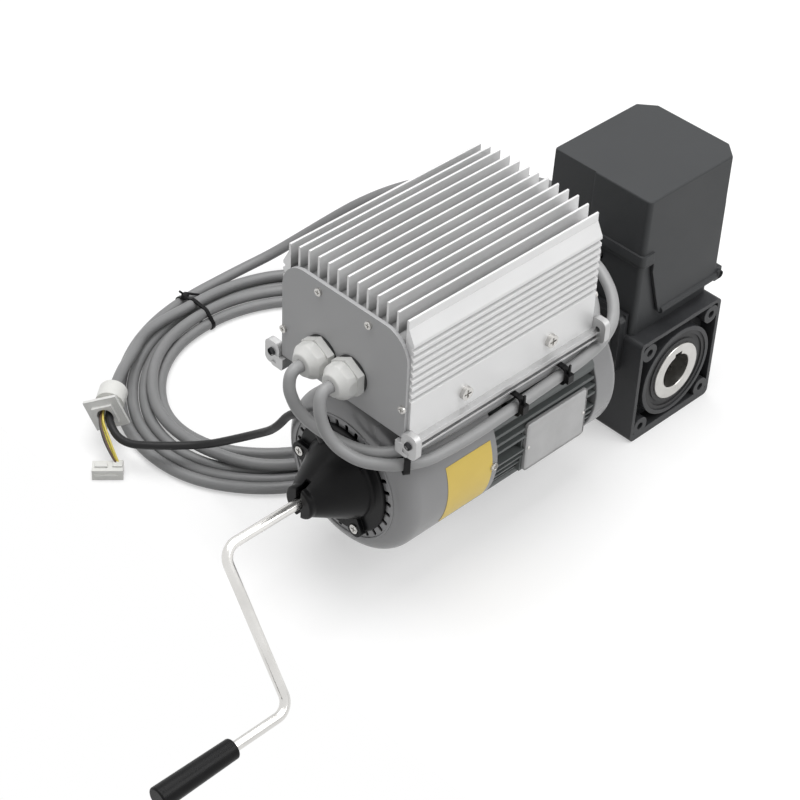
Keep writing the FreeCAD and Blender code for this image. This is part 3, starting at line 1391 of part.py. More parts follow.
def supply_cable():
    """From the gland of the base over to the coil."""
    start = base_rear_y + 3
    lift = coil_z + 3
    route = [V(supply_x, start, supply_z), V(supply_x, start + 32, supply_z),
             V(supply_x - 3, start + 60, supply_z), V(supply_x - 18, start + 97, supply_z - 4),
             V(supply_x - 44, start + 135, supply_z - 12), V(supply_x - 72, start + 167, supply_z - 27),
             V(supply_x - 92, start + 191, supply_z - 46), V(supply_x - 107, start + 210, supply_z - 65),
             V(supply_x - 121, start + 230, supply_z - 88), V(supply_x - 142, start + 246, supply_z - 106),
             V(supply_x - 170, start + 256, lift), coil_point(96, coil_mean_r + 11.5, lift)]
    return cord(route, cable_d, "supply_cable")


def cable_tail():
    """The outermost turn leaves the coil and ends in the plug's gland."""
    back = plug_place - plug_way * plug_nut_length / 2
    route = [coil_point(118, coil_mean_r + 9.5, coil_z + 1), V(coil_x - 88, coil_y + 98, coil_z + 5),
             back - plug_way * 22,
             back]
    return cord(route, cable_d, "cable_tail")


plug_way = V(-0.78, -0.625, 0).normalize()
plug_place = V(coil_x - 142.2, coil_y + 56.5, floor_z + 27)
plug_roll = 22.0
plug_side = V(0, 0, 1).cross(plug_way)
plug_nut_length = 16.0
plug_nut_r = 11.5
plug_plate_at = plug_place + plug_way * 17


def plug_gland():
    """Round nut and collar on the end of the supply cable."""
    half = plug_nut_length / 2
    nut = rod(plug_nut_r, plug_place - plug_way * half, plug_place + plug_way * half)
    collar = rod(8.0, plug_place + plug_way * half, plug_plate_at)
    return fuse([nut, collar])


def plug_plate():
    """Square plate that slides into a control box, with a raised frame round its hole."""
    size = 28.0
    plate = Part.makeBox(size, size, 3.0, V(-size / 2, -size / 2, 0))
    frame = Part.makeBox(17, 17, 3.0, V(-8.5, -8.5, 3.0))
    body = plate.fuse(frame).removeSplitter().cut(Part.makeCylinder(6.4, 20, V(0, 0, -5)))
    roll = FreeCAD.Rotation(Z_AXIS, plug_roll)
    body.Placement = FreeCAD.Placement(plug_plate_at, frame_of(plug_side, plug_way) * roll)
    return body


wires_d = 4.2
plug_half_length = 12.0
plug_half_width = 6.0
plug_height = 9.0
plug_middle = V(coil_x - 183, coil_y + 12, floor_z)
plug_turn = -42.0


def plug_wires():
    """The cores of the cable, as one bundle, from the plate to the plug."""
    start = plug_plate_at - plug_side * 3.4
    route = [start, start + plug_way * 9, plug_middle + V(13, 18, 20), plug_middle + V(9, 6, 14.5),
             plug_middle + V(7.5, -3, plug_height - 0.5)]
    return cord(route, wires_d, "plug_wires")


def plug_connector():
    """White plug housing with its row of contact holes."""
    body = block(-plug_half_length, plug_half_length, -plug_half_width, plug_half_width, 0, plug_height)
    for i in (-1, 0, 1):
        y = 3.8 * i
        body = body.cut(block(-plug_half_length - 1, 4 - plug_half_length, y - 1.2, y + 1.2, 3.2, 5.8))
    body.rotate(V(), Z_AXIS, plug_turn)
    body.translate(plug_middle)
    return body


def switch_cable():
    """Black lead from the crank funnel's switch over the coil to the plug plate."""
    start = plug_plate_at + plug_side * 2.7
    x = cowl_front_x
    over = floor_z + coil_height
    hang = [V(x - 8, 46, worm_z + 42), V(x - 5, 66, worm_z + 18), V(x + 6, 89, worm_z - 15),
            V(x + 4, 124, over + 23)]
    lie = [plug_place + V(15, -87.5, 0.5), plug_place + V(-7, -64.5, -2), plug_place + V(-18, -42, -5)]
    leave = [switch_exit - switch_way * 6, switch_exit + switch_way * 16]
    route = leave + hang + lie + [start + plug_way * 10, start]
    return cord(route, switch_d, "switch_cable")


pieces = {
    "gear_housing": gear_housing, "gear_side_cover": gear_side_cover,
    "side_cover_screws": side_cover_screws,
    "output_shaft": output_shaft, "worm_wheel": worm_wheel, "limit_drive_gear": limit_drive_gear,
    "output_bearings": lambda: group([output_bearing(-1), output_bearing(1)]),
    "shaft_seals": lambda: group([shaft_seal(-1), shaft_seal(1)]),
    "idler_gear": idler_gear, "idler_pin": idler_pin, "encoder_gear": encoder_gear,
    "encoder_unit": encoder_unit,
    "limit_switch_base": limit_switch_base, "limit_switch_cover": limit_switch_cover,
    "terminal_board": terminal_board, "supply_gland": supply_gland,
    "motor_flange": motor_flange, "flange_bolts": flange_bolts, "motor_housing": motor_housing,
    "tie_bolts": tie_bolts,
    "stator_core": stator_core, "windings": windings, "rotor_core": rotor_core, "motor_shaft": motor_shaft,
    "worm_bearing": worm_bearing, "worm_end_cap": worm_end_cap, "drive_end_bearing": drive_end_bearing,
    "rear_bearing": rear_bearing, "rear_end_shield": rear_end_shield, "cooling_fan": cooling_fan,
    "fan_cowl": fan_cowl,
    "crank_funnel": crank_funnel, "funnel_screws": funnel_screws, "crank_socket": crank_socket,
    "crank_rod": crank_rod, "crank_grip": crank_grip,
    "inverter_saddle": inverter_saddle, "inverter_tray": inverter_tray,
    "heat_sink": heat_sink, "front_plate": lambda: end_plate(front_plate_x, True),
    "rear_plate": lambda: end_plate(sink_rear_x, False), "plate_screws": plate_screws,
    "flange_screws": flange_screws,
    "base_rails": lambda: group([base_rail(-1), base_rail(1)]),
    "gland_washers": gland_washers, "gland_bodies": gland_bodies, "gland_caps": gland_caps,
    "power_board": lambda: group([power_board()] + capacitors()),
    "motor_lead": motor_lead, "encoder_lead": encoder_lead, "lead_ties": lead_ties,
    "supply_cable": supply_cable, "cable_coil": cable_coil, "coil_tie": coil_tie, "cable_tail": cable_tail,
    "plug_gland": plug_gland, "plug_plate": plug_plate, "plug_wires": plug_wires,
    "plug_connector": plug_connector,
    "switch_cable": switch_cable,
}

os.makedirs("parts", exist_ok=True)
for name, make in pieces.items():
    shape = make()
    shape.exportStep("parts/" + name + ".step")
    valid = "" if shape.isValid() else " NOT VALID"
    print(name, len(shape.Solids), "solids", round(shape.Volume / 1000, 2), "cm3" + valid)
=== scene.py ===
"""Looks of a high-speed door drive: worm gearmotor, inverter on top, hand crank and coiled supply cable."""
from math import cos, pi, radians, sin

import bpy
from mathutils import Matrix, Quaternion, Vector


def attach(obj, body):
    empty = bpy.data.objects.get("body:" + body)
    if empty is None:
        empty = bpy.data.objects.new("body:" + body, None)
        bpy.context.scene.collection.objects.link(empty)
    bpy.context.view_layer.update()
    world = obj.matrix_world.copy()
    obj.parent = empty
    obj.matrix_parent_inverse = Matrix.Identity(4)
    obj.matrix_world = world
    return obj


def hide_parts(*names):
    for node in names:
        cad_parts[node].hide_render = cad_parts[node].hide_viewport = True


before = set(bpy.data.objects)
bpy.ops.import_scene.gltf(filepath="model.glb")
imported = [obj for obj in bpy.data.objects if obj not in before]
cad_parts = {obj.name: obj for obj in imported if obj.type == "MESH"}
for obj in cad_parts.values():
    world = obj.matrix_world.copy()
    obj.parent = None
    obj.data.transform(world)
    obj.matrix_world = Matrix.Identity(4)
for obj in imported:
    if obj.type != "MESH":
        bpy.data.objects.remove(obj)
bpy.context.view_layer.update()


# Gear housing and side cover
# Two aluminium castings under satin black paint. The paint follows the slight pebble of the casting
# and is rubbed thin along the edges, where the metal greys through.
def effect(name, numbers, results):
    """Empty shader node group with number inputs and the named results."""
    tree = bpy.data.node_groups.new(name, "ShaderNodeTree")
    for label, value in numbers.items():
        socket = tree.interface.new_socket(name=label, in_out="INPUT", socket_type="NodeSocketFloat")
        socket.default_value = value
    for label, kind in results.items():
        tree.interface.new_socket(name=label, in_out="OUTPUT", socket_type=kind)
    return tree, tree.nodes.new("NodeGroupInput"), tree.nodes.new("NodeGroupOutput")


edge_wear, given, result = effect("edge_wear", {"Width": 0.0006, "Patches": 140.0},
                                  {"Normal": "NodeSocketVector", "Wear": "NodeSocketFloat"})
rounding = edge_wear.nodes.new("ShaderNodeBevel")
rounding.samples = 4
face_way = edge_wear.nodes.new("ShaderNodeNewGeometry")
same_way = edge_wear.nodes.new("ShaderNodeVectorMath")
same_way.operation = "DOT_PRODUCT"
on_edge = edge_wear.nodes.new("ShaderNodeMapRange")
on_edge.inputs["From Min"].default_value = 0.99
on_edge.inputs["From Max"].default_value = 0.80
place = edge_wear.nodes.new("ShaderNodeTexCoord")
patches = edge_wear.nodes.new("ShaderNodeTexNoise")
patches.inputs["Detail"].default_value = 5.0
rubbed = edge_wear.nodes.new("ShaderNodeMapRange")
rubbed.inputs["From Min"].default_value = 0.38
rubbed.inputs["From Max"].default_value = 0.68
both = edge_wear.nodes.new("ShaderNodeMath")
both.operation = "MULTIPLY"
edge_wear.links.new(given.outputs["Width"], rounding.inputs["Radius"])
edge_wear.links.new(rounding.outputs["Normal"], same_way.inputs[0])
edge_wear.links.new(face_way.outputs["Normal"], same_way.inputs[1])
edge_wear.links.new(same_way.outputs["Value"], on_edge.inputs["Value"])
edge_wear.links.new(place.outputs["Object"], patches.inputs["Vector"])
edge_wear.links.new(given.outputs["Patches"], patches.inputs["Scale"])
edge_wear.links.new(patches.outputs["Fac"], rubbed.inputs["Value"])
edge_wear.links.new(on_edge.outputs["Result"], both.inputs[0])
edge_wear.links.new(rubbed.outputs["Result"], both.inputs[1])
edge_wear.links.new(rounding.outputs["Normal"], result.inputs["Normal"])
edge_wear.links.new(both.outputs["Value"], result.inputs["Wear"])

clouding, given, result = effect("clouding", {"Scale": 20.0}, {"Cloud": "NodeSocketFloat"})
place = clouding.nodes.new("ShaderNodeTexCoord")
cloud = clouding.nodes.new("ShaderNodeTexNoise")
cloud.inputs["Detail"].default_value = 4.0
cloud.inputs["Roughness"].default_value = 0.6
stretch = clouding.nodes.new("ShaderNodeMapRange")
stretch.inputs["From Min"].default_value = 0.3
stretch.inputs["From Max"].default_value = 0.7
clouding.links.new(place.outputs["Object"], cloud.inputs["Vector"])
clouding.links.new(given.outputs["Scale"], cloud.inputs["Scale"])
clouding.links.new(cloud.outputs["Fac"], stretch.inputs["Value"])
clouding.links.new(stretch.outputs["Result"], result.inputs["Cloud"])

grain, given, result = effect("grain", {"Along": 900.0, "Across": 900.0}, {"Height": "NodeSocketFloat"})
place = grain.nodes.new("ShaderNodeTexCoord")
pull = grain.nodes.new("ShaderNodeCombineXYZ")
scaled = grain.nodes.new("ShaderNodeVectorMath")
scaled.operation = "MULTIPLY"
pebble = grain.nodes.new("ShaderNodeTexNoise")
pebble.inputs["Scale"].default_value = 1.0
pebble.inputs["Detail"].default_value = 3.0
grain.links.new(given.outputs["Along"], pull.inputs["X"])
grain.links.new(given.outputs["Across"], pull.inputs["Y"])
grain.links.new(given.outputs["Across"], pull.inputs["Z"])
grain.links.new(place.outputs["Object"], scaled.inputs[0])
grain.links.new(pull.outputs["Vector"], scaled.inputs[1])
grain.links.new(scaled.outputs["Vector"], pebble.inputs["Vector"])
grain.links.new(pebble.outputs["Fac"], result.inputs["Height"])


def finish(name, colour, second, rough, metallic=0.0, clouds=22.0, along=1400.0, across=1400.0, depth=0.00004,
           edge=0.0006, worn=None, wear=0.0, coat=0.0, shine=0.5):
    """Surface of two cloudy tones with its grain, soft edges and worn edges."""
    material = bpy.data.materials.new(name)
    material.use_nodes = True
    nodes = material.node_tree.nodes
    link = material.node_tree.links.new
    shader = nodes["Principled BSDF"]
    shader.inputs["Metallic"].default_value = metallic
    shader.inputs["Specular IOR Level"].default_value = shine
    shader.inputs["Coat Weight"].default_value = coat
    shader.inputs["Coat Roughness"].default_value = 0.25
    tones = nodes.new("ShaderNodeGroup")
    tones.node_tree = clouding
    tones.inputs["Scale"].default_value = clouds
    mix = nodes.new("ShaderNodeMix")
    mix.data_type = "RGBA"
    mix.inputs["A"].default_value = (*colour, 1)
    mix.inputs["B"].default_value = (*second, 1)
    link(tones.outputs["Cloud"], mix.inputs["Factor"])
    edges = nodes.new("ShaderNodeGroup")
    edges.node_tree = edge_wear
    edges.inputs["Width"].default_value = edge
    shown = mix.outputs["Result"]
    if worn:
        part = nodes.new("ShaderNodeMath")
        part.operation = "MULTIPLY"
        part.inputs[1].default_value = wear
        link(edges.outputs["Wear"], part.inputs[0])
        thin = nodes.new("ShaderNodeMix")
        thin.data_type = "RGBA"
        thin.inputs["B"].default_value = (*worn, 1)
        link(part.outputs["Value"], thin.inputs["Factor"])
        link(shown, thin.inputs["A"])
        shown = thin.outputs["Result"]
    link(shown, shader.inputs["Base Color"])
    gloss = nodes.new("ShaderNodeMapRange")
    gloss.inputs["To Min"].default_value = rough[0]
    gloss.inputs["To Max"].default_value = rough[1]
    link(tones.outputs["Cloud"], gloss.inputs["Value"])
    link(gloss.outputs["Result"], shader.inputs["Roughness"])
    skin = nodes.new("ShaderNodeGroup")
    skin.node_tree = grain
    skin.inputs["Along"].default_value = along
    skin.inputs["Across"].default_value = across
    bump = nodes.new("ShaderNodeBump")
    bump.inputs["Distance"].default_value = depth
    link(skin.outputs["Height"], bump.inputs["Height"])
    link(edges.outputs["Normal"], bump.inputs["Normal"])
    link(bump.outputs["Normal"], shader.inputs["Normal"])
    return material


def dress(material, *nodes):
    """Puts a finish on nodes of the model."""
    for node in nodes:
        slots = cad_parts[node].data.materials
        slots.clear()
        slots.append(material)


black_paint = finish("black_paint", (0.030, 0.031, 0.033), (0.044, 0.045, 0.048), (0.36, 0.52), along=1100,
                     across=1100, depth=0.00010, edge=0.0009, worn=(0.17, 0.17, 0.175), wear=0.65, shine=0.3)
dress(black_paint, "gear_housing", "gear_side_cover")


# Screws and bolts of the castings and plates
# Zinc-plated steel with a faint yellow cast, dull on the flanks and rubbed bright on the rims.
zinc_plate = finish("zinc_plate", (0.50, 0.49, 0.47), (0.62, 0.61, 0.59), (0.28, 0.45), metallic=1.0,
                    clouds=160, along=2500, across=2500, depth=0.00002, edge=0.0003)
dress(zinc_plate, "side_cover_screws", "flange_bolts", "tie_bolts", "plate_screws", "flange_screws",
      "funnel_screws")


# Hollow shaft, bearings and seals
# The keyed steel shaft is turned and left bare. It runs in two shielded ball bearings, and a nitrile
# rubber ring seals each face of the housing.
bare_steel = finish("bare_steel", (0.50, 0.49, 0.47), (0.60, 0.59, 0.57), (0.24, 0.36), metallic=1.0,
                    clouds=60, along=3000, across=500, depth=0.00002, edge=0.0004)
seal_rubber = finish("seal_rubber", (0.020, 0.020, 0.021), (0.030, 0.030, 0.031), (0.55, 0.7), clouds=90,
                     along=2200, across=2200, depth=0.00004, edge=0.0004)
dress(bare_steel, "output_shaft", "output_bearings", "idler_pin", "motor_shaft", "worm_bearing",
      "drive_end_bearing", "rear_bearing", "crank_socket")
dress(seal_rubber, "shaft_seals", "worm_end_cap", "gland_washers")


# Worm wheel and limit-switch gears
# The wheel is cast bronze with hobbed teeth. The three spur gears of the limit switch are
# white acetal, moulded and slightly waxy.
bronze = finish("bronze", (0.48, 0.29, 0.11), (0.60, 0.39, 0.16), (0.3, 0.45), metallic=1.0, clouds=70,
                along=1500, across=1500, depth=0.00003, edge=0.0003)
white_acetal = finish("white_acetal", (0.74, 0.73, 0.68), (0.80, 0.79, 0.75), (0.35, 0.45), clouds=80,
                      along=1800, across=1800, depth=0.00002, edge=0.0003)
dress(bronze, "worm_wheel")
dress(white_acetal, "limit_drive_gear", "idler_gear", "encoder_gear")


# Stator, windings and rotor
# Stacked electrical sheet with its fine edge lines across the motor, and end turns of
# enamelled copper wire under varnish.
sheet_stack = finish("sheet_stack", (0.22, 0.22, 0.23), (0.34, 0.34, 0.35), (0.35, 0.5), metallic=1.0,
                     clouds=40, along=2600, across=40, depth=0.00006, edge=0.0003)
varnished_copper = finish("varnished_copper", (0.33, 0.13, 0.05), (0.50, 0.22, 0.09), (0.25, 0.4),
                          metallic=0.7, clouds=120, along=900, across=240, depth=0.0003, edge=0.0006,
                          coat=0.4)
dress(sheet_stack, "stator_core", "rotor_core")
dress(varnished_copper, "windings")


# Motor flange and fan cowl
# The flange is a round aluminium casting in the same grey paint as the drawn steel cowl. The paint has a
# fine orange peel and a soft shine. The flange's square foot was painted black together with the gearbox.
grey_paint = finish("grey_paint", (0.245, 0.245, 0.249), (0.270, 0.270, 0.274), (0.26, 0.36), metallic=0.2,
                    clouds=14, along=900, across=900, depth=0.00003, edge=0.0007, worn=(0.60, 0.60, 0.60),
                    wear=0.3, coat=0.15)
foot_front = -0.0550
flange_paint = grey_paint.copy()
flange_paint.name = "flange_paint"
nodes = flange_paint.node_tree.nodes
link = flange_paint.node_tree.links.new
shader = nodes["Principled BSDF"]
place = nodes.new("ShaderNodeTexCoord")
axes = nodes.new("ShaderNodeSeparateXYZ")
on_foot = nodes.new("ShaderNodeMath")
on_foot.operation = "GREATER_THAN"
on_foot.inputs[1].default_value = foot_front
coats = nodes.new("ShaderNodeMix")
coats.data_type = "RGBA"
coats.inputs["B"].default_value = (0.035, 0.036, 0.038, 1)
link(place.outputs["Object"], axes.inputs["Vector"])
link(axes.outputs["X"], on_foot.inputs[0])
link(on_foot.outputs["Value"], coats.inputs["Factor"])
link(shader.inputs["Base Color"].links[0].from_socket, coats.inputs["A"])
link(coats.outputs["Result"], shader.inputs["Base Color"])
dress(grey_paint, "fan_cowl")
dress(flange_paint, "motor_flange")


# Stator frame
# Extruded aluminium with cooling ribs along its sides, painted dark slate grey.
# The rib tips are scuffed a little lighter.
slate_paint = finish("slate_paint", (0.095, 0.104, 0.103), (0.120, 0.130, 0.128), (0.42, 0.56), clouds=26,
                     along=500, across=1500, depth=0.00007, edge=0.0007, worn=(0.26, 0.26, 0.27), wear=0.6)
dress(slate_paint, "motor_housing")


# Rating plate
# Anodised aluminium plate on a pad across the ribs of the stator frame, held by a drive rivet at each end.
# It carries no print: the face is bare, with the fine lines of the rolled sheet.
plate_low = Vector((-0.1880, -0.0632, 0.0110))
plate_high = Vector((-0.1220, -0.0598, 0.0555))
corner_round = 0.003
bpy.ops.object.select_all(action="DESELECT")
bpy.ops.mesh.primitive_cube_add(size=1, location=(plate_low + plate_high) / 2, scale=plate_high - plate_low)
rating_plate = bpy.context.object
rating_plate.name = "rating_plate"
bpy.ops.object.transform_apply(location=True, rotation=True, scale=True)
for edge in rating_plate.data.edges:
    ends = [rating_plate.data.vertices[v].co for v in edge.vertices]
    edge.select = abs(ends[0].y - ends[1].y) > 0.0005
for polygon in rating_plate.data.polygons:
    polygon.select = False
bpy.ops.object.mode_set(mode="EDIT")
bpy.ops.mesh.select_mode(type="EDGE")
bpy.ops.mesh.bevel(offset=corner_round, segments=5)
bpy.ops.object.mode_set(mode="OBJECT")
anodised_plate = finish("anodised_plate", (0.44, 0.44, 0.44), (0.52, 0.52, 0.52), (0.46, 0.58), metallic=0.3,
                        clouds=45, along=60, across=1500, depth=0.00002, edge=0.0001)
rating_plate.data.materials.append(anodised_plate)
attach(rating_plate, "housing")

rivet_radius = 0.0015
rivet_flatness = 0.55
rivet_sunk = 0.0002
rivet_height = 0.033
bpy.ops.object.select_all(action="DESELECT")
bpy.ops.mesh.primitive_uv_sphere_add(segments=16, ring_count=8, radius=rivet_radius)
first_rivet = bpy.context.object
bpy.ops.object.mode_set(mode="EDIT")
bpy.ops.mesh.select_all(action="SELECT")
bpy.ops.transform.resize(value=(1, rivet_flatness, 1), center_override=(0, 0, 0))
bpy.ops.mesh.bisect(plane_co=(0, rivet_sunk, 0), plane_no=(0, 1, 0), clear_outer=True, use_fill=True)
bpy.ops.object.mode_set(mode="OBJECT")
bpy.ops.object.shade_smooth_by_angle(angle=radians(40))
first_rivet.data.materials.append(zinc_plate)


def set_copy(pattern, name, facing, seat):
    """Copy of a fastener with its own mesh, turned and moved to its seat on the housing."""
    fastener = bpy.data.objects.new(name, pattern.data.copy())
    fastener.data.transform(Matrix.Translation(seat) @ facing.to_matrix().to_4x4())
    bpy.context.scene.collection.objects.link(fastener)
    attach(fastener, "housing")


for number, x in enumerate((-0.1850, -0.1250)):
    seat = Vector((x, plate_low.y, rivet_height))
    set_copy(first_rivet, "plate_rivet_" + str(number + 1), Quaternion(), seat)
bpy.data.objects.remove(first_rivet)


# Rear end shield, saddle and slotted rails
# The shield and the saddle are raw pressure castings of aluminium, and the rails a raw extrusion.
# They are unpainted, dull grey with a sandy skin, and are clamped or bolted to the motor.
raw_cast = finish("raw_cast", (0.46, 0.46, 0.46), (0.56, 0.56, 0.56), (0.42, 0.58), metallic=0.9, clouds=45,
                  along=800, across=800, depth=0.0001, edge=0.0006)
dress(raw_cast, "rear_end_shield", "inverter_saddle", "base_rails")


# Cowl screws
# Four flat-headed screws hold the fan cowl on the end shield, one on each quarter of its rim.
# One head is turned with its sunk socket, and each screw is a copy of it.
def socket_head(diameter, height, material):
    """Screw head with a sunk socket, standing on the origin and facing up."""
    bpy.ops.object.select_all(action="DESELECT")
    bpy.ops.mesh.primitive_cylinder_add(vertices=28, radius=diameter / 2, depth=height,
                                        location=(0, 0, height / 2))
    head = bpy.context.object
    bpy.ops.object.transform_apply(location=True, rotation=True, scale=True)
    for edge in head.data.edges:
        edge.select = all(head.data.vertices[v].co.z > height * 0.9 for v in edge.vertices)
    for polygon in head.data.polygons:
        polygon.select = False
    bpy.ops.object.mode_set(mode="EDIT")
    bpy.ops.mesh.select_mode(type="EDGE")
    bpy.ops.mesh.bevel(offset=height * 0.35, segments=4)
    bpy.ops.object.mode_set(mode="OBJECT")
    for polygon in head.data.polygons:
        polygon.select = polygon.normal.z > 0.99
    bpy.ops.object.mode_set(mode="EDIT")
    bpy.ops.mesh.select_mode(type="FACE")
    bpy.ops.mesh.inset(thickness=diameter * 0.14)
    bpy.ops.mesh.extrude_region_move(TRANSFORM_OT_translate={"value": (0, 0, -height * 0.55)})
    bpy.ops.object.mode_set(mode="OBJECT")
    bpy.ops.object.shade_smooth_by_angle(angle=radians(35))
    head.data.materials.append(material)
    return head


cowl_radius = 0.065
motor_axis = Vector((0, 0, 0.040))
cowl_rim = Vector((-0.225, 0, 0))
head_sunk = 0.0002
cowl_head = socket_head(0.0066, 0.0018, zinc_plate)
for quarter in range(4):
    outward = Vector((0, cos(quarter * pi / 2), sin(quarter * pi / 2)))
    seat = motor_axis + outward * (cowl_radius - head_sunk) + cowl_rim
    set_copy(cowl_head, "cowl_screw_" + str(quarter + 1), outward.to_track_quat("Z", "Y"), seat)
bpy.data.objects.remove(cowl_head)


# Clamp screws of the rails
# A small blackened steel screw with a socket sits in the lug at each end of both rails.
# It draws the clamp tight on the flange of the inverter.
lug_front = -0.3200
lug_back = -0.1220
lug_side = 0.0690
lug_height = 0.1170
clamp_head = socket_head(0.0062, 0.0012, black_paint)
for number, (x, y, way) in enumerate(((lug_front, -lug_side, -1), (lug_front, lug_side, -1),
                                      (lug_back, -lug_side, 1), (lug_back, lug_side, 1))):
    set_copy(clamp_head, "clamp_screw_" + str(number + 1), Vector((way, 0, 0)).to_track_quat("Z", "Y"),
             Vector((x, y, lug_height)))
bpy.data.objects.remove(clamp_head)


# Foil on the fan cowl
# A plain yellow vinyl foil, glued round the side of the cowl.
# It has no print and its ends are cut square.
foil_front = -0.2720
foil_back = -0.2265
foil_top = 0.0235
foil_foot = -0.0315
foil_wall = 0.00012
bpy.ops.object.select_all(action="DESELECT")
bpy.ops.mesh.primitive_cylinder_add(vertices=192, radius=cowl_radius + foil_wall,
                                    depth=foil_back - foil_front, end_fill_type="NOTHING",
                                    rotation=(0, pi / 2, 0),
                                    location=((foil_front + foil_back) / 2, 0, motor_axis.z))
cowl_foil = bpy.context.object
cowl_foil.name = "cowl_foil"
bpy.ops.object.transform_apply(location=True, rotation=True, scale=True)
for polygon in cowl_foil.data.polygons:
    middle = polygon.center - motor_axis
    polygon.select = middle.y > 0 or middle.z > foil_top or middle.z < foil_foot
bpy.ops.object.mode_set(mode="EDIT")
bpy.ops.mesh.select_mode(type="FACE")
bpy.ops.mesh.delete(type="FACE")
bpy.ops.object.mode_set(mode="OBJECT")
thickness = cowl_foil.modifiers.new("thickness", "SOLIDIFY")
thickness.thickness = foil_wall
thickness.offset = 1
bpy.ops.object.modifier_apply(modifier="thickness")
bpy.ops.object.shade_smooth_by_angle(angle=radians(30))
yellow_vinyl = finish("yellow_vinyl", (0.80, 0.58, 0.11), (0.84, 0.62, 0.13), (0.36, 0.46), clouds=30,
                      along=700, across=700, depth=0.00003, edge=0.0001)
cowl_foil.data.materials.append(yellow_vinyl)
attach(cowl_foil, "housing")


# Fan, funnel and crank grip
# Black glass-filled nylon with the dull, slightly cloudy skin of the mould. Handling has polished
# the corners of the funnel and the end of the grip.
black_nylon = finish("black_nylon", (0.006, 0.006, 0.0065), (0.010, 0.010, 0.0105), (0.28, 0.40), clouds=55,
                     along=1900, across=1900, depth=0.00004, edge=0.0008, worn=(0.04, 0.04, 0.042), wear=0.4,
                     shine=0.13)
dress(black_nylon, "cooling_fan", "crank_funnel", "crank_grip", "encoder_unit", "supply_gland", "lead_ties")


# Crank bar
# Round steel bar, bent cold twice and plated bright, plugged into the socket on the motor shaft.
# Fine drawing lines run along the bar.
bright_plate = finish("bright_plate", (0.66, 0.65, 0.63), (0.74, 0.73, 0.71), (0.16, 0.28), metallic=1.0,
                      clouds=40, along=300, across=1600, depth=0.00002, edge=0.0003)
dress(bright_plate, "crank_rod")


# Limit-switch base and cover
# Moulded charcoal plastic with the fine spark texture of the tool on all faces.
# The cover's edges are rubbed slightly pale, and one blackened screw holds it on the base.
charcoal_moulding = finish("charcoal_moulding", (0.037, 0.039, 0.041), (0.045, 0.047, 0.049), (0.46, 0.58),
                           clouds=16, along=2100, across=2100, depth=0.00008, edge=0.0012,
                           worn=(0.13, 0.13, 0.135), wear=0.35, shine=0.28)
dress(charcoal_moulding, "limit_switch_base", "limit_switch_cover")
cover_head = socket_head(0.0070, 0.0024, black_paint)
cover_tongue = Vector((0.0520, -0.0430, 0.0645))
set_copy(cover_head, "cover_screw", Vector((0, -1, 0)).to_track_quat("Z", "Y"), cover_tongue)
bpy.data.objects.remove(cover_head)


# Terminal board and power board
# Green laminate with solder mask, screwed inside the limit-switch base and the inverter.
# The parts on the boards share its dull lacquer.
green_board = finish("green_board", (0.020, 0.13, 0.055), (0.028, 0.17, 0.075), (0.3, 0.45), clouds=120,
                     along=900, across=900, depth=0.00004, edge=0.0003, coat=0.3)
dress(green_board, "terminal_board", "power_board")


# Inverter housing
# One satin anodised aluminium extrusion with fins on top, fine ribs down its sides and faint die lines.
# The fin tips catch the light. Painted shade darkens the grooves and the slots between the fins, but not the
# sawn ends.
# Painted shade: ambient occlusion darkens the narrow grooves of the ribs and fins.
groove_shade, given, result = effect("groove_shade", {"Reach": 0.003}, {"Open": "NodeSocketFloat"})
hollow = groove_shade.nodes.new("ShaderNodeAmbientOcclusion")
hollow.samples = 8
hollow.only_local = True
open_way = groove_shade.nodes.new("ShaderNodeMapRange")
open_way.inputs["From Min"].default_value = 0.35
open_way.inputs["From Max"].default_value = 0.85
open_way.inputs["To Min"].default_value = 0.30
groove_shade.links.new(given.outputs["Reach"], hollow.inputs["Distance"])
groove_shade.links.new(hollow.outputs["AO"], open_way.inputs["Value"])
groove_shade.links.new(open_way.outputs["Result"], result.inputs["Open"])
# Painted shade in the slots between the fins, from the slot floor up to slot_light, but not on the sawn ends.
slot_floor = 0.201
slot_light = 0.208
fins_half_width = 0.0575
satin_extrusion = finish("satin_extrusion", (0.72, 0.72, 0.72), (0.78, 0.78, 0.78), (0.36, 0.46),
                         metallic=0.40, clouds=10, along=14, across=2400, depth=0.00005, edge=0.0006)
nodes = satin_extrusion.node_tree.nodes
link = satin_extrusion.node_tree.links.new
shader = nodes["Principled BSDF"]
depths = nodes.new("ShaderNodeGroup")
depths.node_tree = groove_shade
place = nodes.new("ShaderNodeTexCoord")
spot = nodes.new("ShaderNodeSeparateXYZ")
height = nodes.new("ShaderNodeMapRange")
height.inputs["From Min"].default_value = slot_floor
height.inputs["From Max"].default_value = slot_light
height.inputs["To Min"].default_value = 0.30
off_middle = nodes.new("ShaderNodeMath")
off_middle.operation = "ABSOLUTE"
beside_fins = nodes.new("ShaderNodeMath")
beside_fins.operation = "GREATER_THAN"
beside_fins.inputs[1].default_value = fins_half_width
facing = nodes.new("ShaderNodeNewGeometry")
lengthways = nodes.new("ShaderNodeSeparateXYZ")
sawn = nodes.new("ShaderNodeMath")
sawn.operation = "ABSOLUTE"
sawn_end = nodes.new("ShaderNodeMath")
sawn_end.operation = "GREATER_THAN"
sawn_end.inputs[1].default_value = 0.5
outside = nodes.new("ShaderNodeMath")
outside.operation = "MAXIMUM"
not_in_slot = nodes.new("ShaderNodeMath")
not_in_slot.operation = "MAXIMUM"
clear = nodes.new("ShaderNodeMath")
clear.operation = "MULTIPLY"
link(place.outputs["Object"], spot.inputs["Vector"])
link(spot.outputs["Z"], height.inputs["Value"])
link(spot.outputs["Y"], off_middle.inputs[0])
link(off_middle.outputs["Value"], beside_fins.inputs[0])
link(facing.outputs["True Normal"], lengthways.inputs["Vector"])
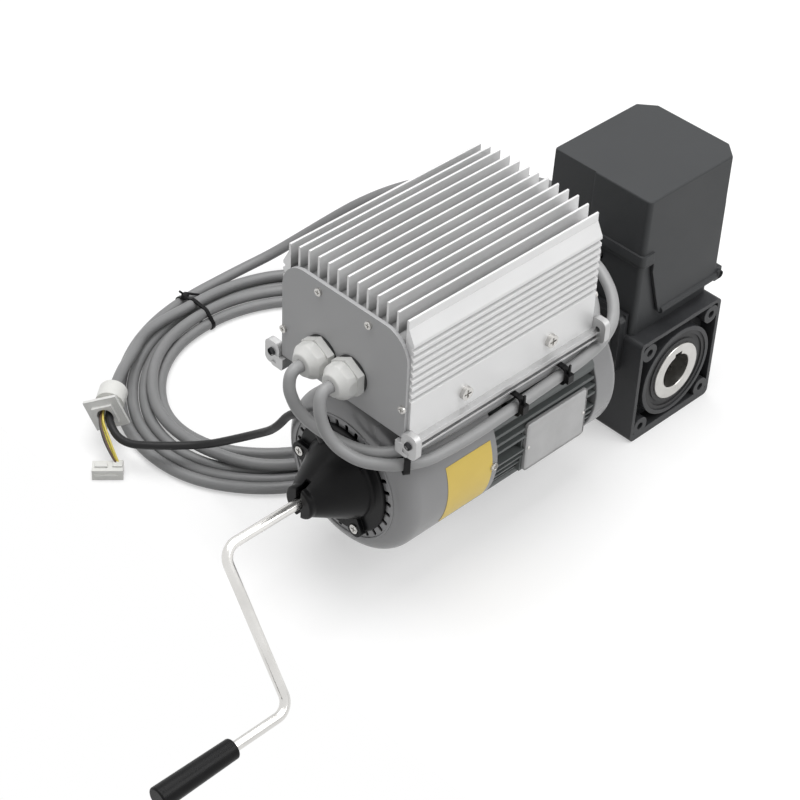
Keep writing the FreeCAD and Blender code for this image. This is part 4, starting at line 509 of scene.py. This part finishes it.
link(lengthways.outputs["X"], sawn.inputs[0])
link(sawn.outputs["Value"], sawn_end.inputs[0])
link(beside_fins.outputs["Value"], outside.inputs[0])
link(sawn_end.outputs["Value"], outside.inputs[1])
link(outside.outputs["Value"], not_in_slot.inputs[0])
link(height.outputs["Result"], not_in_slot.inputs[1])
link(not_in_slot.outputs["Value"], clear.inputs[0])
link(depths.outputs["Open"], clear.inputs[1])
# Painted shade: the extrusion's grey is mixed towards dark grey where the grooves and slots are.
painted_slot_shade = nodes.new("ShaderNodeMix")
painted_slot_shade.data_type = "RGBA"
painted_slot_shade.inputs["A"].default_value = (0.16, 0.16, 0.16, 1)
link(clear.outputs["Value"], painted_slot_shade.inputs["Factor"])
link(shader.inputs["Base Color"].links[0].from_socket, painted_slot_shade.inputs["B"])
link(painted_slot_shade.outputs["Result"], shader.inputs["Base Color"])
dress(satin_extrusion, "heat_sink")


# Tray and end plates of the inverter
# The tray is folded zinc-plated sheet that closes the extrusion from below.
# The end plates are sheet with a smooth mid-grey powder coat, screwed to the ends of the extrusion.
folded_sheet = finish("folded_sheet", (0.44, 0.44, 0.44), (0.52, 0.52, 0.52), (0.35, 0.5), metallic=1.0,
                      clouds=50, along=80, across=1800, depth=0.00003, edge=0.0005)
powder_coat = finish("powder_coat", (0.46, 0.462, 0.467), (0.49, 0.492, 0.497), (0.44, 0.52), clouds=12,
                     along=1200, across=1200, depth=0.00006, edge=0.0006, worn=(0.52, 0.52, 0.525), wear=0.3)
dress(folded_sheet, "inverter_tray")
dress(powder_coat, "front_plate", "rear_plate")


# Cable glands and inverter leads
# Light grey polyamide glands with a smooth moulded skin. The leads are grey PVC cable,
# slightly dull, drawn down the front and tied along the rail.
pale_polyamide = finish("pale_polyamide", (0.77, 0.77, 0.75), (0.82, 0.82, 0.80), (0.32, 0.42), clouds=60,
                        along=1500, across=1500, depth=0.00002, edge=0.0007)
grey_sheath = finish("grey_sheath", (0.315, 0.316, 0.318), (0.348, 0.349, 0.351), (0.38, 0.48), clouds=40,
                     along=700, across=700, depth=0.00006, edge=0.0002)
dress(pale_polyamide, "gland_bodies", "gland_caps", "plug_plate")
dress(grey_sheath, "motor_lead", "encoder_lead")


# Supply cable
# Grey PVC cable from the gland of the limit-switch base. It drops behind the inverter, lies in a loose
# coil of five turns held by one tie, and ends in the gland of the plug plate.
def cable(name, points, diameter, material):
    """Cable along a smooth line that is drawn by its points, in millimetres."""
    curve = bpy.data.curves.new(name, "CURVE")
    curve.dimensions = "3D"
    curve.bevel_depth = diameter / 2000
    curve.bevel_resolution = 5
    curve.resolution_u = 8
    curve.use_fill_caps = True
    line = curve.splines.new("NURBS")
    line.points.add(len(points) - 1)
    for dot, point in zip(line.points, points):
        dot.co = (point[0] / 1000, point[1] / 1000, point[2] / 1000, 1)
    line.order_u = 3
    line.use_endpoint_u = True
    piece = bpy.data.objects.new(name, curve)
    bpy.context.scene.collection.objects.link(piece)
    piece.data.materials.append(material)
    return piece


from_gland = [(30, 55, 78), (30, 87, 78), (27, 115, 78), (12, 152, 74), (-14, 190, 66), (-42, 222, 51),
              (-62, 246, 32), (-77, 264, 13), (-91, 285, -10), (-112, 301, -28), (-140, 311, -36.5)]
on_floor = -44.35
coil_turns = [
    ([133.5, 135.0, 140.0, 146.8, 147.6, 137.5, 127.0, 122.0,
      123.0, 127.0, 131.0, 134.5, 136.0, 135.5, 129.5], [-42.4] + [on_floor] * 14),
    ([122.3, 125.3, 130.3, 137.1, 137.9, 127.8, 117.3, 112.3,
      113.0, 116.0, 119.5, 122.5, 123.5, 122.0, 116.0], [on_floor] * 15),
    ([110.8, 115.5, 120.5, 127.4, 128.1, 117.7, 107.5, 102.5,
      102.8, 104.5, 106.3, 106.5, 104.5, 101.0, 98.5], [on_floor] * 15),
    ([98.7, 103.5, 108.0, 112.5, 107.5, 96.0, 89.0, 89.5,
      92.0, 94.0, 98.5, 104.5, 111.0, 111.0, 107.0], [on_floor] * 10 + [-38.0, -34.4, -36.0, -40.2, -39.0]),
    ([104.6, 109.5, 114.2, 119.6, 119.8, 121.3, 112.3, 107.4,
      107.8, 110.0, 113.0, 116.0, 121.2, 128.5, 122.6],
     [-36.8, -36.4, -36.6, -37.6, -36.0, -34.8, -35.9, -36.1,
      -36.1, -36.4, -36.9, -37.2, -34.2, -36.0, -36.8]),
    ([116.6], [-35.2])]
coil_middle = (-194, 181)
coil_start = 96
coil_step = 24
in_coil = []
for radii, heights in coil_turns:
    for radius, height in zip(radii, heights):
        angle = radians(coil_start + coil_step * len(in_coil))
        outside = radius / cos(radians(coil_step / 2))
        in_coil.append((coil_middle[0] + outside * cos(angle), coil_middle[1] + outside * sin(angle), height))
leaves_at = radians(117)
leaves_out = 131
to_plug = [(coil_middle[0] + leaves_out * cos(leaves_at),
            coil_middle[1] + leaves_out * sin(leaves_at), -34.0),
           (-282, 279, -33.5), (-312.8, 256.3, -22), (-330.0, 242.5, -22)]
# The same grey PVC as the leads, set darker: painted shade for the coil lying in shade.
shaded_grey_sheath = finish("shaded_grey_sheath", (0.212, 0.213, 0.215), (0.240, 0.241, 0.243), (0.40, 0.50), clouds=40,
                     along=700, across=700, depth=0.00006, edge=0.0002)
supply_diameter = 9.3
supply_cable = cable("supply_cord", from_gland + in_coil + to_plug, supply_diameter, shaded_grey_sheath)
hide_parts("supply_cable", "cable_coil", "cable_tail")
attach(supply_cable, "housing")


# Coil tie
# Black coated wire strap, drawn tight round the hank so that it bites into the soft sheath.
# Its ends are twisted to a knot on the outer side and cut short.
tie_way = radians(92.5)
tie_out = Vector((cos(tie_way), sin(tie_way), 0))
tie_along = Vector((-sin(tie_way), cos(tie_way), 0))
strap_width = 0.0030
strap_thick = 0.0016
strap_corners = 72
strands = [(133.7, -41.7), (123.6, on_floor), (112.0, on_floor), (99.0, on_floor),
           (105.4, -37.2), (118.8, -35.4)]
sheath_grip = 4.85
bpy.ops.object.select_all(action="DESELECT")
bpy.ops.mesh.primitive_circle_add(vertices=strap_corners, radius=0.02, fill_type="NOTHING")
coil_tie = bpy.context.object
coil_tie.name = "coil_tie_strap"
for corner in coil_tie.data.vertices:
    turn = 2 * pi * corner.index / strap_corners
    across, up = cos(turn), sin(turn)
    out, height = max(strands, key=lambda strand: strand[0] * across + strand[1] * up)
    reach = tie_out * (out + sheath_grip * across) + Vector((*coil_middle, height + sheath_grip * up))
    corner.co = reach / 1000 - tie_along * strap_width / 2
bpy.ops.object.mode_set(mode="EDIT")
bpy.ops.mesh.select_mode(type="EDGE")
bpy.ops.mesh.select_all(action="SELECT")
bpy.ops.mesh.extrude_region_move(TRANSFORM_OT_translate={"value": tie_along * strap_width})
bpy.ops.mesh.select_all(action="SELECT")
bpy.ops.mesh.remove_doubles(threshold=0.00005)
bpy.ops.mesh.normals_make_consistent(inside=False)
bpy.ops.object.mode_set(mode="OBJECT")
strap_wall = coil_tie.modifiers.new("strap_wall", "SOLIDIFY")
strap_wall.thickness = strap_thick
strap_wall.offset = 0
bpy.ops.object.modifier_apply(modifier="strap_wall")
knot_place = (tie_out * 130.6 - tie_along * 1.5 + Vector((*coil_middle, -34.2))) / 1000
knot_parts = [((0, 0, 0), (0.0070, 0.0058, 0.0052), (0.3, 0.2, 0.4)),
              ((-0.0028, 0.0014, 0.0044), (0.0019, 0.0019, 0.0085), (0.3, -0.7, 0.0)),
              ((0.0058, -0.0030, 0.0010), (0.0120, 0.0019, 0.0018), (0.0, 0.15, -0.75))]
for offset, sides, turned in knot_parts:
    bpy.ops.object.select_all(action="DESELECT")
    bpy.ops.mesh.primitive_cube_add(size=1, location=knot_place + Vector(offset), rotation=turned,
                                    scale=sides)
    bpy.ops.object.transform_apply(location=True, rotation=True, scale=True)
    bpy.ops.object.mode_set(mode="EDIT")
    bpy.ops.mesh.select_all(action="SELECT")
    bpy.ops.mesh.bevel(offset=min(sides) * 0.32, segments=3)
    bpy.ops.object.mode_set(mode="OBJECT")
    coil_tie.select_set(True)
    bpy.context.view_layer.objects.active = coil_tie
    bpy.ops.object.join()
bpy.ops.object.shade_smooth_by_angle(angle=radians(40))
coil_tie.data.materials.append(black_nylon)
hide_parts("coil_tie")
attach(coil_tie, "housing")


# Plug end of the supply cable
# White nylon gland, the grey plate that slides into a control box, and a white plug housing.
# The cores run bare from the plate to the plug.
white_nylon = finish("white_nylon", (0.76, 0.76, 0.73), (0.82, 0.82, 0.79), (0.3, 0.42), clouds=80,
                     along=1500, across=1500, depth=0.00003, edge=0.0005)
dress(white_nylon, "plug_gland", "plug_connector")
plug_middle = Vector((-0.377, 0.193, -0.049))
plug_turn = radians(-42)
plug_lips = {"plug_wire_boss": ((0.0076, 0.0020, 0.0097), (0.0080, 0.0074, 0.0016)),
             "plug_latch": ((-0.0050, 0, 0.0098), (0.0100, 0.0046, 0.0018)),
             "plug_rib_left": ((-0.0010, -0.0063, 0.0045), (0.0180, 0.0008, 0.0020)),
             "plug_rib_right": ((-0.0010, 0.0063, 0.0045), (0.0180, 0.0008, 0.0020))}
for name, (middle, sides) in plug_lips.items():
    bpy.ops.object.select_all(action="DESELECT")
    bpy.ops.mesh.primitive_cube_add(size=1, location=middle, scale=sides)
    lip = bpy.context.object
    lip.name = name
    bpy.ops.object.transform_apply(location=True, rotation=True, scale=True)
    bpy.ops.object.mode_set(mode="EDIT")
    bpy.ops.mesh.select_all(action="SELECT")
    bpy.ops.mesh.bevel(offset=min(sides) * 0.3, segments=3)
    bpy.ops.object.mode_set(mode="OBJECT")
    lip.data.transform(Matrix.Translation(plug_middle) @ Matrix.Rotation(plug_turn, 4, "Z"))
    lip.data.materials.append(white_nylon)
    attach(lip, "housing")

core_colours = {"core_earth": (0.74, 0.66, 0.08), "core_brown": (0.10, 0.055, 0.035),
                "core_white": (0.78, 0.78, 0.74), "core_amber": (0.72, 0.58, 0.12),
                "core_black": (0.02, 0.02, 0.021)}
core_offsets = [(0, 0, 0), (-1.4, -0.8, 0.8), (1.4, 0.6, -0.6), (0.5, -1.3, 1.5), (-0.6, 1.3, -1.5)]
core_diameter = 1.7
bunched = 0.95
for (name, colour), (dx, dy, dz) in zip(core_colours.items(), core_offsets):
    lighter = tuple(min(1, 1.15 * c) for c in colour)
    sheath = finish(name, colour, lighter, (0.35, 0.45), clouds=200, along=1500, across=1500, depth=0.00002,
                    edge=0.0001)
    points = [(-351.6 + bunched * dx, 229.5 + bunched * dy, -22 + bunched * dz),
              (-358.6 + dx, 223.9 + dy, -22 + dz),
              (-364 + 1.6 * dx, 211 + 1.6 * dy, -29 + 1.6 * dz),
              (-368 + 1.3 * dx, 199 + 1.3 * dy, -34.5 + dz),
              (-369.5 + 0.9 * dx, 190 + 0.9 * dy, -40.5)]
    core = cable(name, points, core_diameter, sheath)
    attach(core, "housing")
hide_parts("plug_wires")


# Switch cable of the crank funnel
# Black rubber cable of the switch that stops the motor while the crank is in.
# It leaves the funnel upwards, drops over the coil and goes into the plug plate.
black_sheath = finish("black_sheath", (0.007, 0.007, 0.0075), (0.011, 0.011, 0.0115), (0.38, 0.50), clouds=70,
                      along=900, across=900, depth=0.00005, edge=0.0002, shine=0.3)
switch_points = [(-319, 13, 62.5), (-319.1, 22, 77.5), (-319.5, 47, 76), (-319.8, 65, 46.5),
                 (-309.8, 94, 17.8), (-312.8, 124, -6.5), (-318.2, 146.8, -23), (-345.6, 172.2, -24.5),
                 (-360.7, 195.5, -28.5), (-355.6, 218.5, -22), (-347.8, 224.8, -22)]
switch_diameter = 6.5
switch_cord = cable("switch_cord", switch_points, switch_diameter, black_sheath)
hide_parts("switch_cable")
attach(switch_cord, "housing")


# Studio
# A white table top under the gearbox and the coil, which ends short of the crank that hangs below it.
# Soft light from the sky, a window over the gearbox side and a broad lamp above.
floor_height = -0.0493
bpy.ops.object.select_all(action="DESELECT")
bpy.ops.mesh.primitive_plane_add(size=1, location=(1.597, 0, floor_height))
table_top = bpy.context.object
table_top.name = "table_top"
table_top.scale = (4.0, 6.0, 1)
bpy.ops.object.transform_apply(location=True, rotation=True, scale=True)
white_top = bpy.data.materials.new("white_top")
white_top.use_nodes = True
nodes = white_top.node_tree.nodes
link = white_top.node_tree.links.new
shader = nodes["Principled BSDF"]
shader.inputs["Base Color"].default_value = (0.56, 0.56, 0.56, 1)
shader.inputs["Roughness"].default_value = 0.7
ray = nodes.new("ShaderNodeLightPath")
seen = nodes.new("ShaderNodeMath")
seen.operation = "MAXIMUM"
mirrored = nodes.new("ShaderNodeMath")
mirrored.operation = "MAXIMUM"
lift = nodes.new("ShaderNodeMath")
lift.operation = "MULTIPLY"
lift.inputs[1].default_value = 0.45
link(ray.outputs["Is Camera Ray"], seen.inputs[0])
link(ray.outputs["Is Glossy Ray"], seen.inputs[1])
link(seen.outputs["Value"], mirrored.inputs[0])
link(ray.outputs["Is Transmission Ray"], mirrored.inputs[1])
link(mirrored.outputs["Value"], lift.inputs[0])
shader.inputs["Emission Color"].default_value = (1, 1, 1, 1)
link(lift.outputs["Value"], shader.inputs["Emission Strength"])
table_top.data.materials.append(white_top)

world = bpy.data.worlds.new("studio")
bpy.context.scene.world = world
world.use_nodes = True
nodes = world.node_tree.nodes
link = world.node_tree.links.new
sky = nodes["Background"]
sky.inputs["Color"].default_value = (1, 1, 1, 1)
ray = nodes.new("ShaderNodeLightPath")
seen = nodes.new("ShaderNodeMath")
seen.operation = "MAXIMUM"
level = nodes.new("ShaderNodeMapRange")
level.inputs["To Min"].default_value = 0.36
level.inputs["To Max"].default_value = 1.0
mirrored = nodes.new("ShaderNodeMath")
mirrored.operation = "MAXIMUM"
link(ray.outputs["Is Camera Ray"], seen.inputs[0])
link(ray.outputs["Is Glossy Ray"], seen.inputs[1])
link(seen.outputs["Value"], mirrored.inputs[0])
link(ray.outputs["Is Transmission Ray"], mirrored.inputs[1])
link(mirrored.outputs["Value"], level.inputs["Value"])
link(level.outputs["Result"], sky.inputs["Strength"])

for name, spot, aim, size, power in (("window", (0.5, -1.5, 1.7), (-0.15, 0, 0.08), 1.3, 20),
                                     ("ceiling", (-0.2, 0.3, 2.2), (-0.2, 0.05, 0), 1.8, 39)):
    lamp = bpy.data.lights.new(name, "AREA")
    lamp.size = size
    lamp.energy = power
    stand = bpy.data.objects.new(name, lamp)
    stand.location = spot
    stand.rotation_euler = (Vector(aim) - Vector(spot)).to_track_quat("-Z", "Y").to_euler()
    bpy.context.scene.collection.objects.link(stand)

lens = bpy.data.cameras.new("camera")
lens.lens = 104.129
lens.sensor_width = 36
lens.clip_start = 0.05
camera = bpy.data.objects.new("camera", lens)
camera.location = (-1.18379, -0.88122, 1.14652)
camera.rotation_euler = (radians(50.1226), radians(-2.2718), radians(-44.5085))
bpy.context.scene.collection.objects.link(camera)
bpy.context.scene.camera = camera
bpy.context.scene.view_settings.view_transform = "Standard"
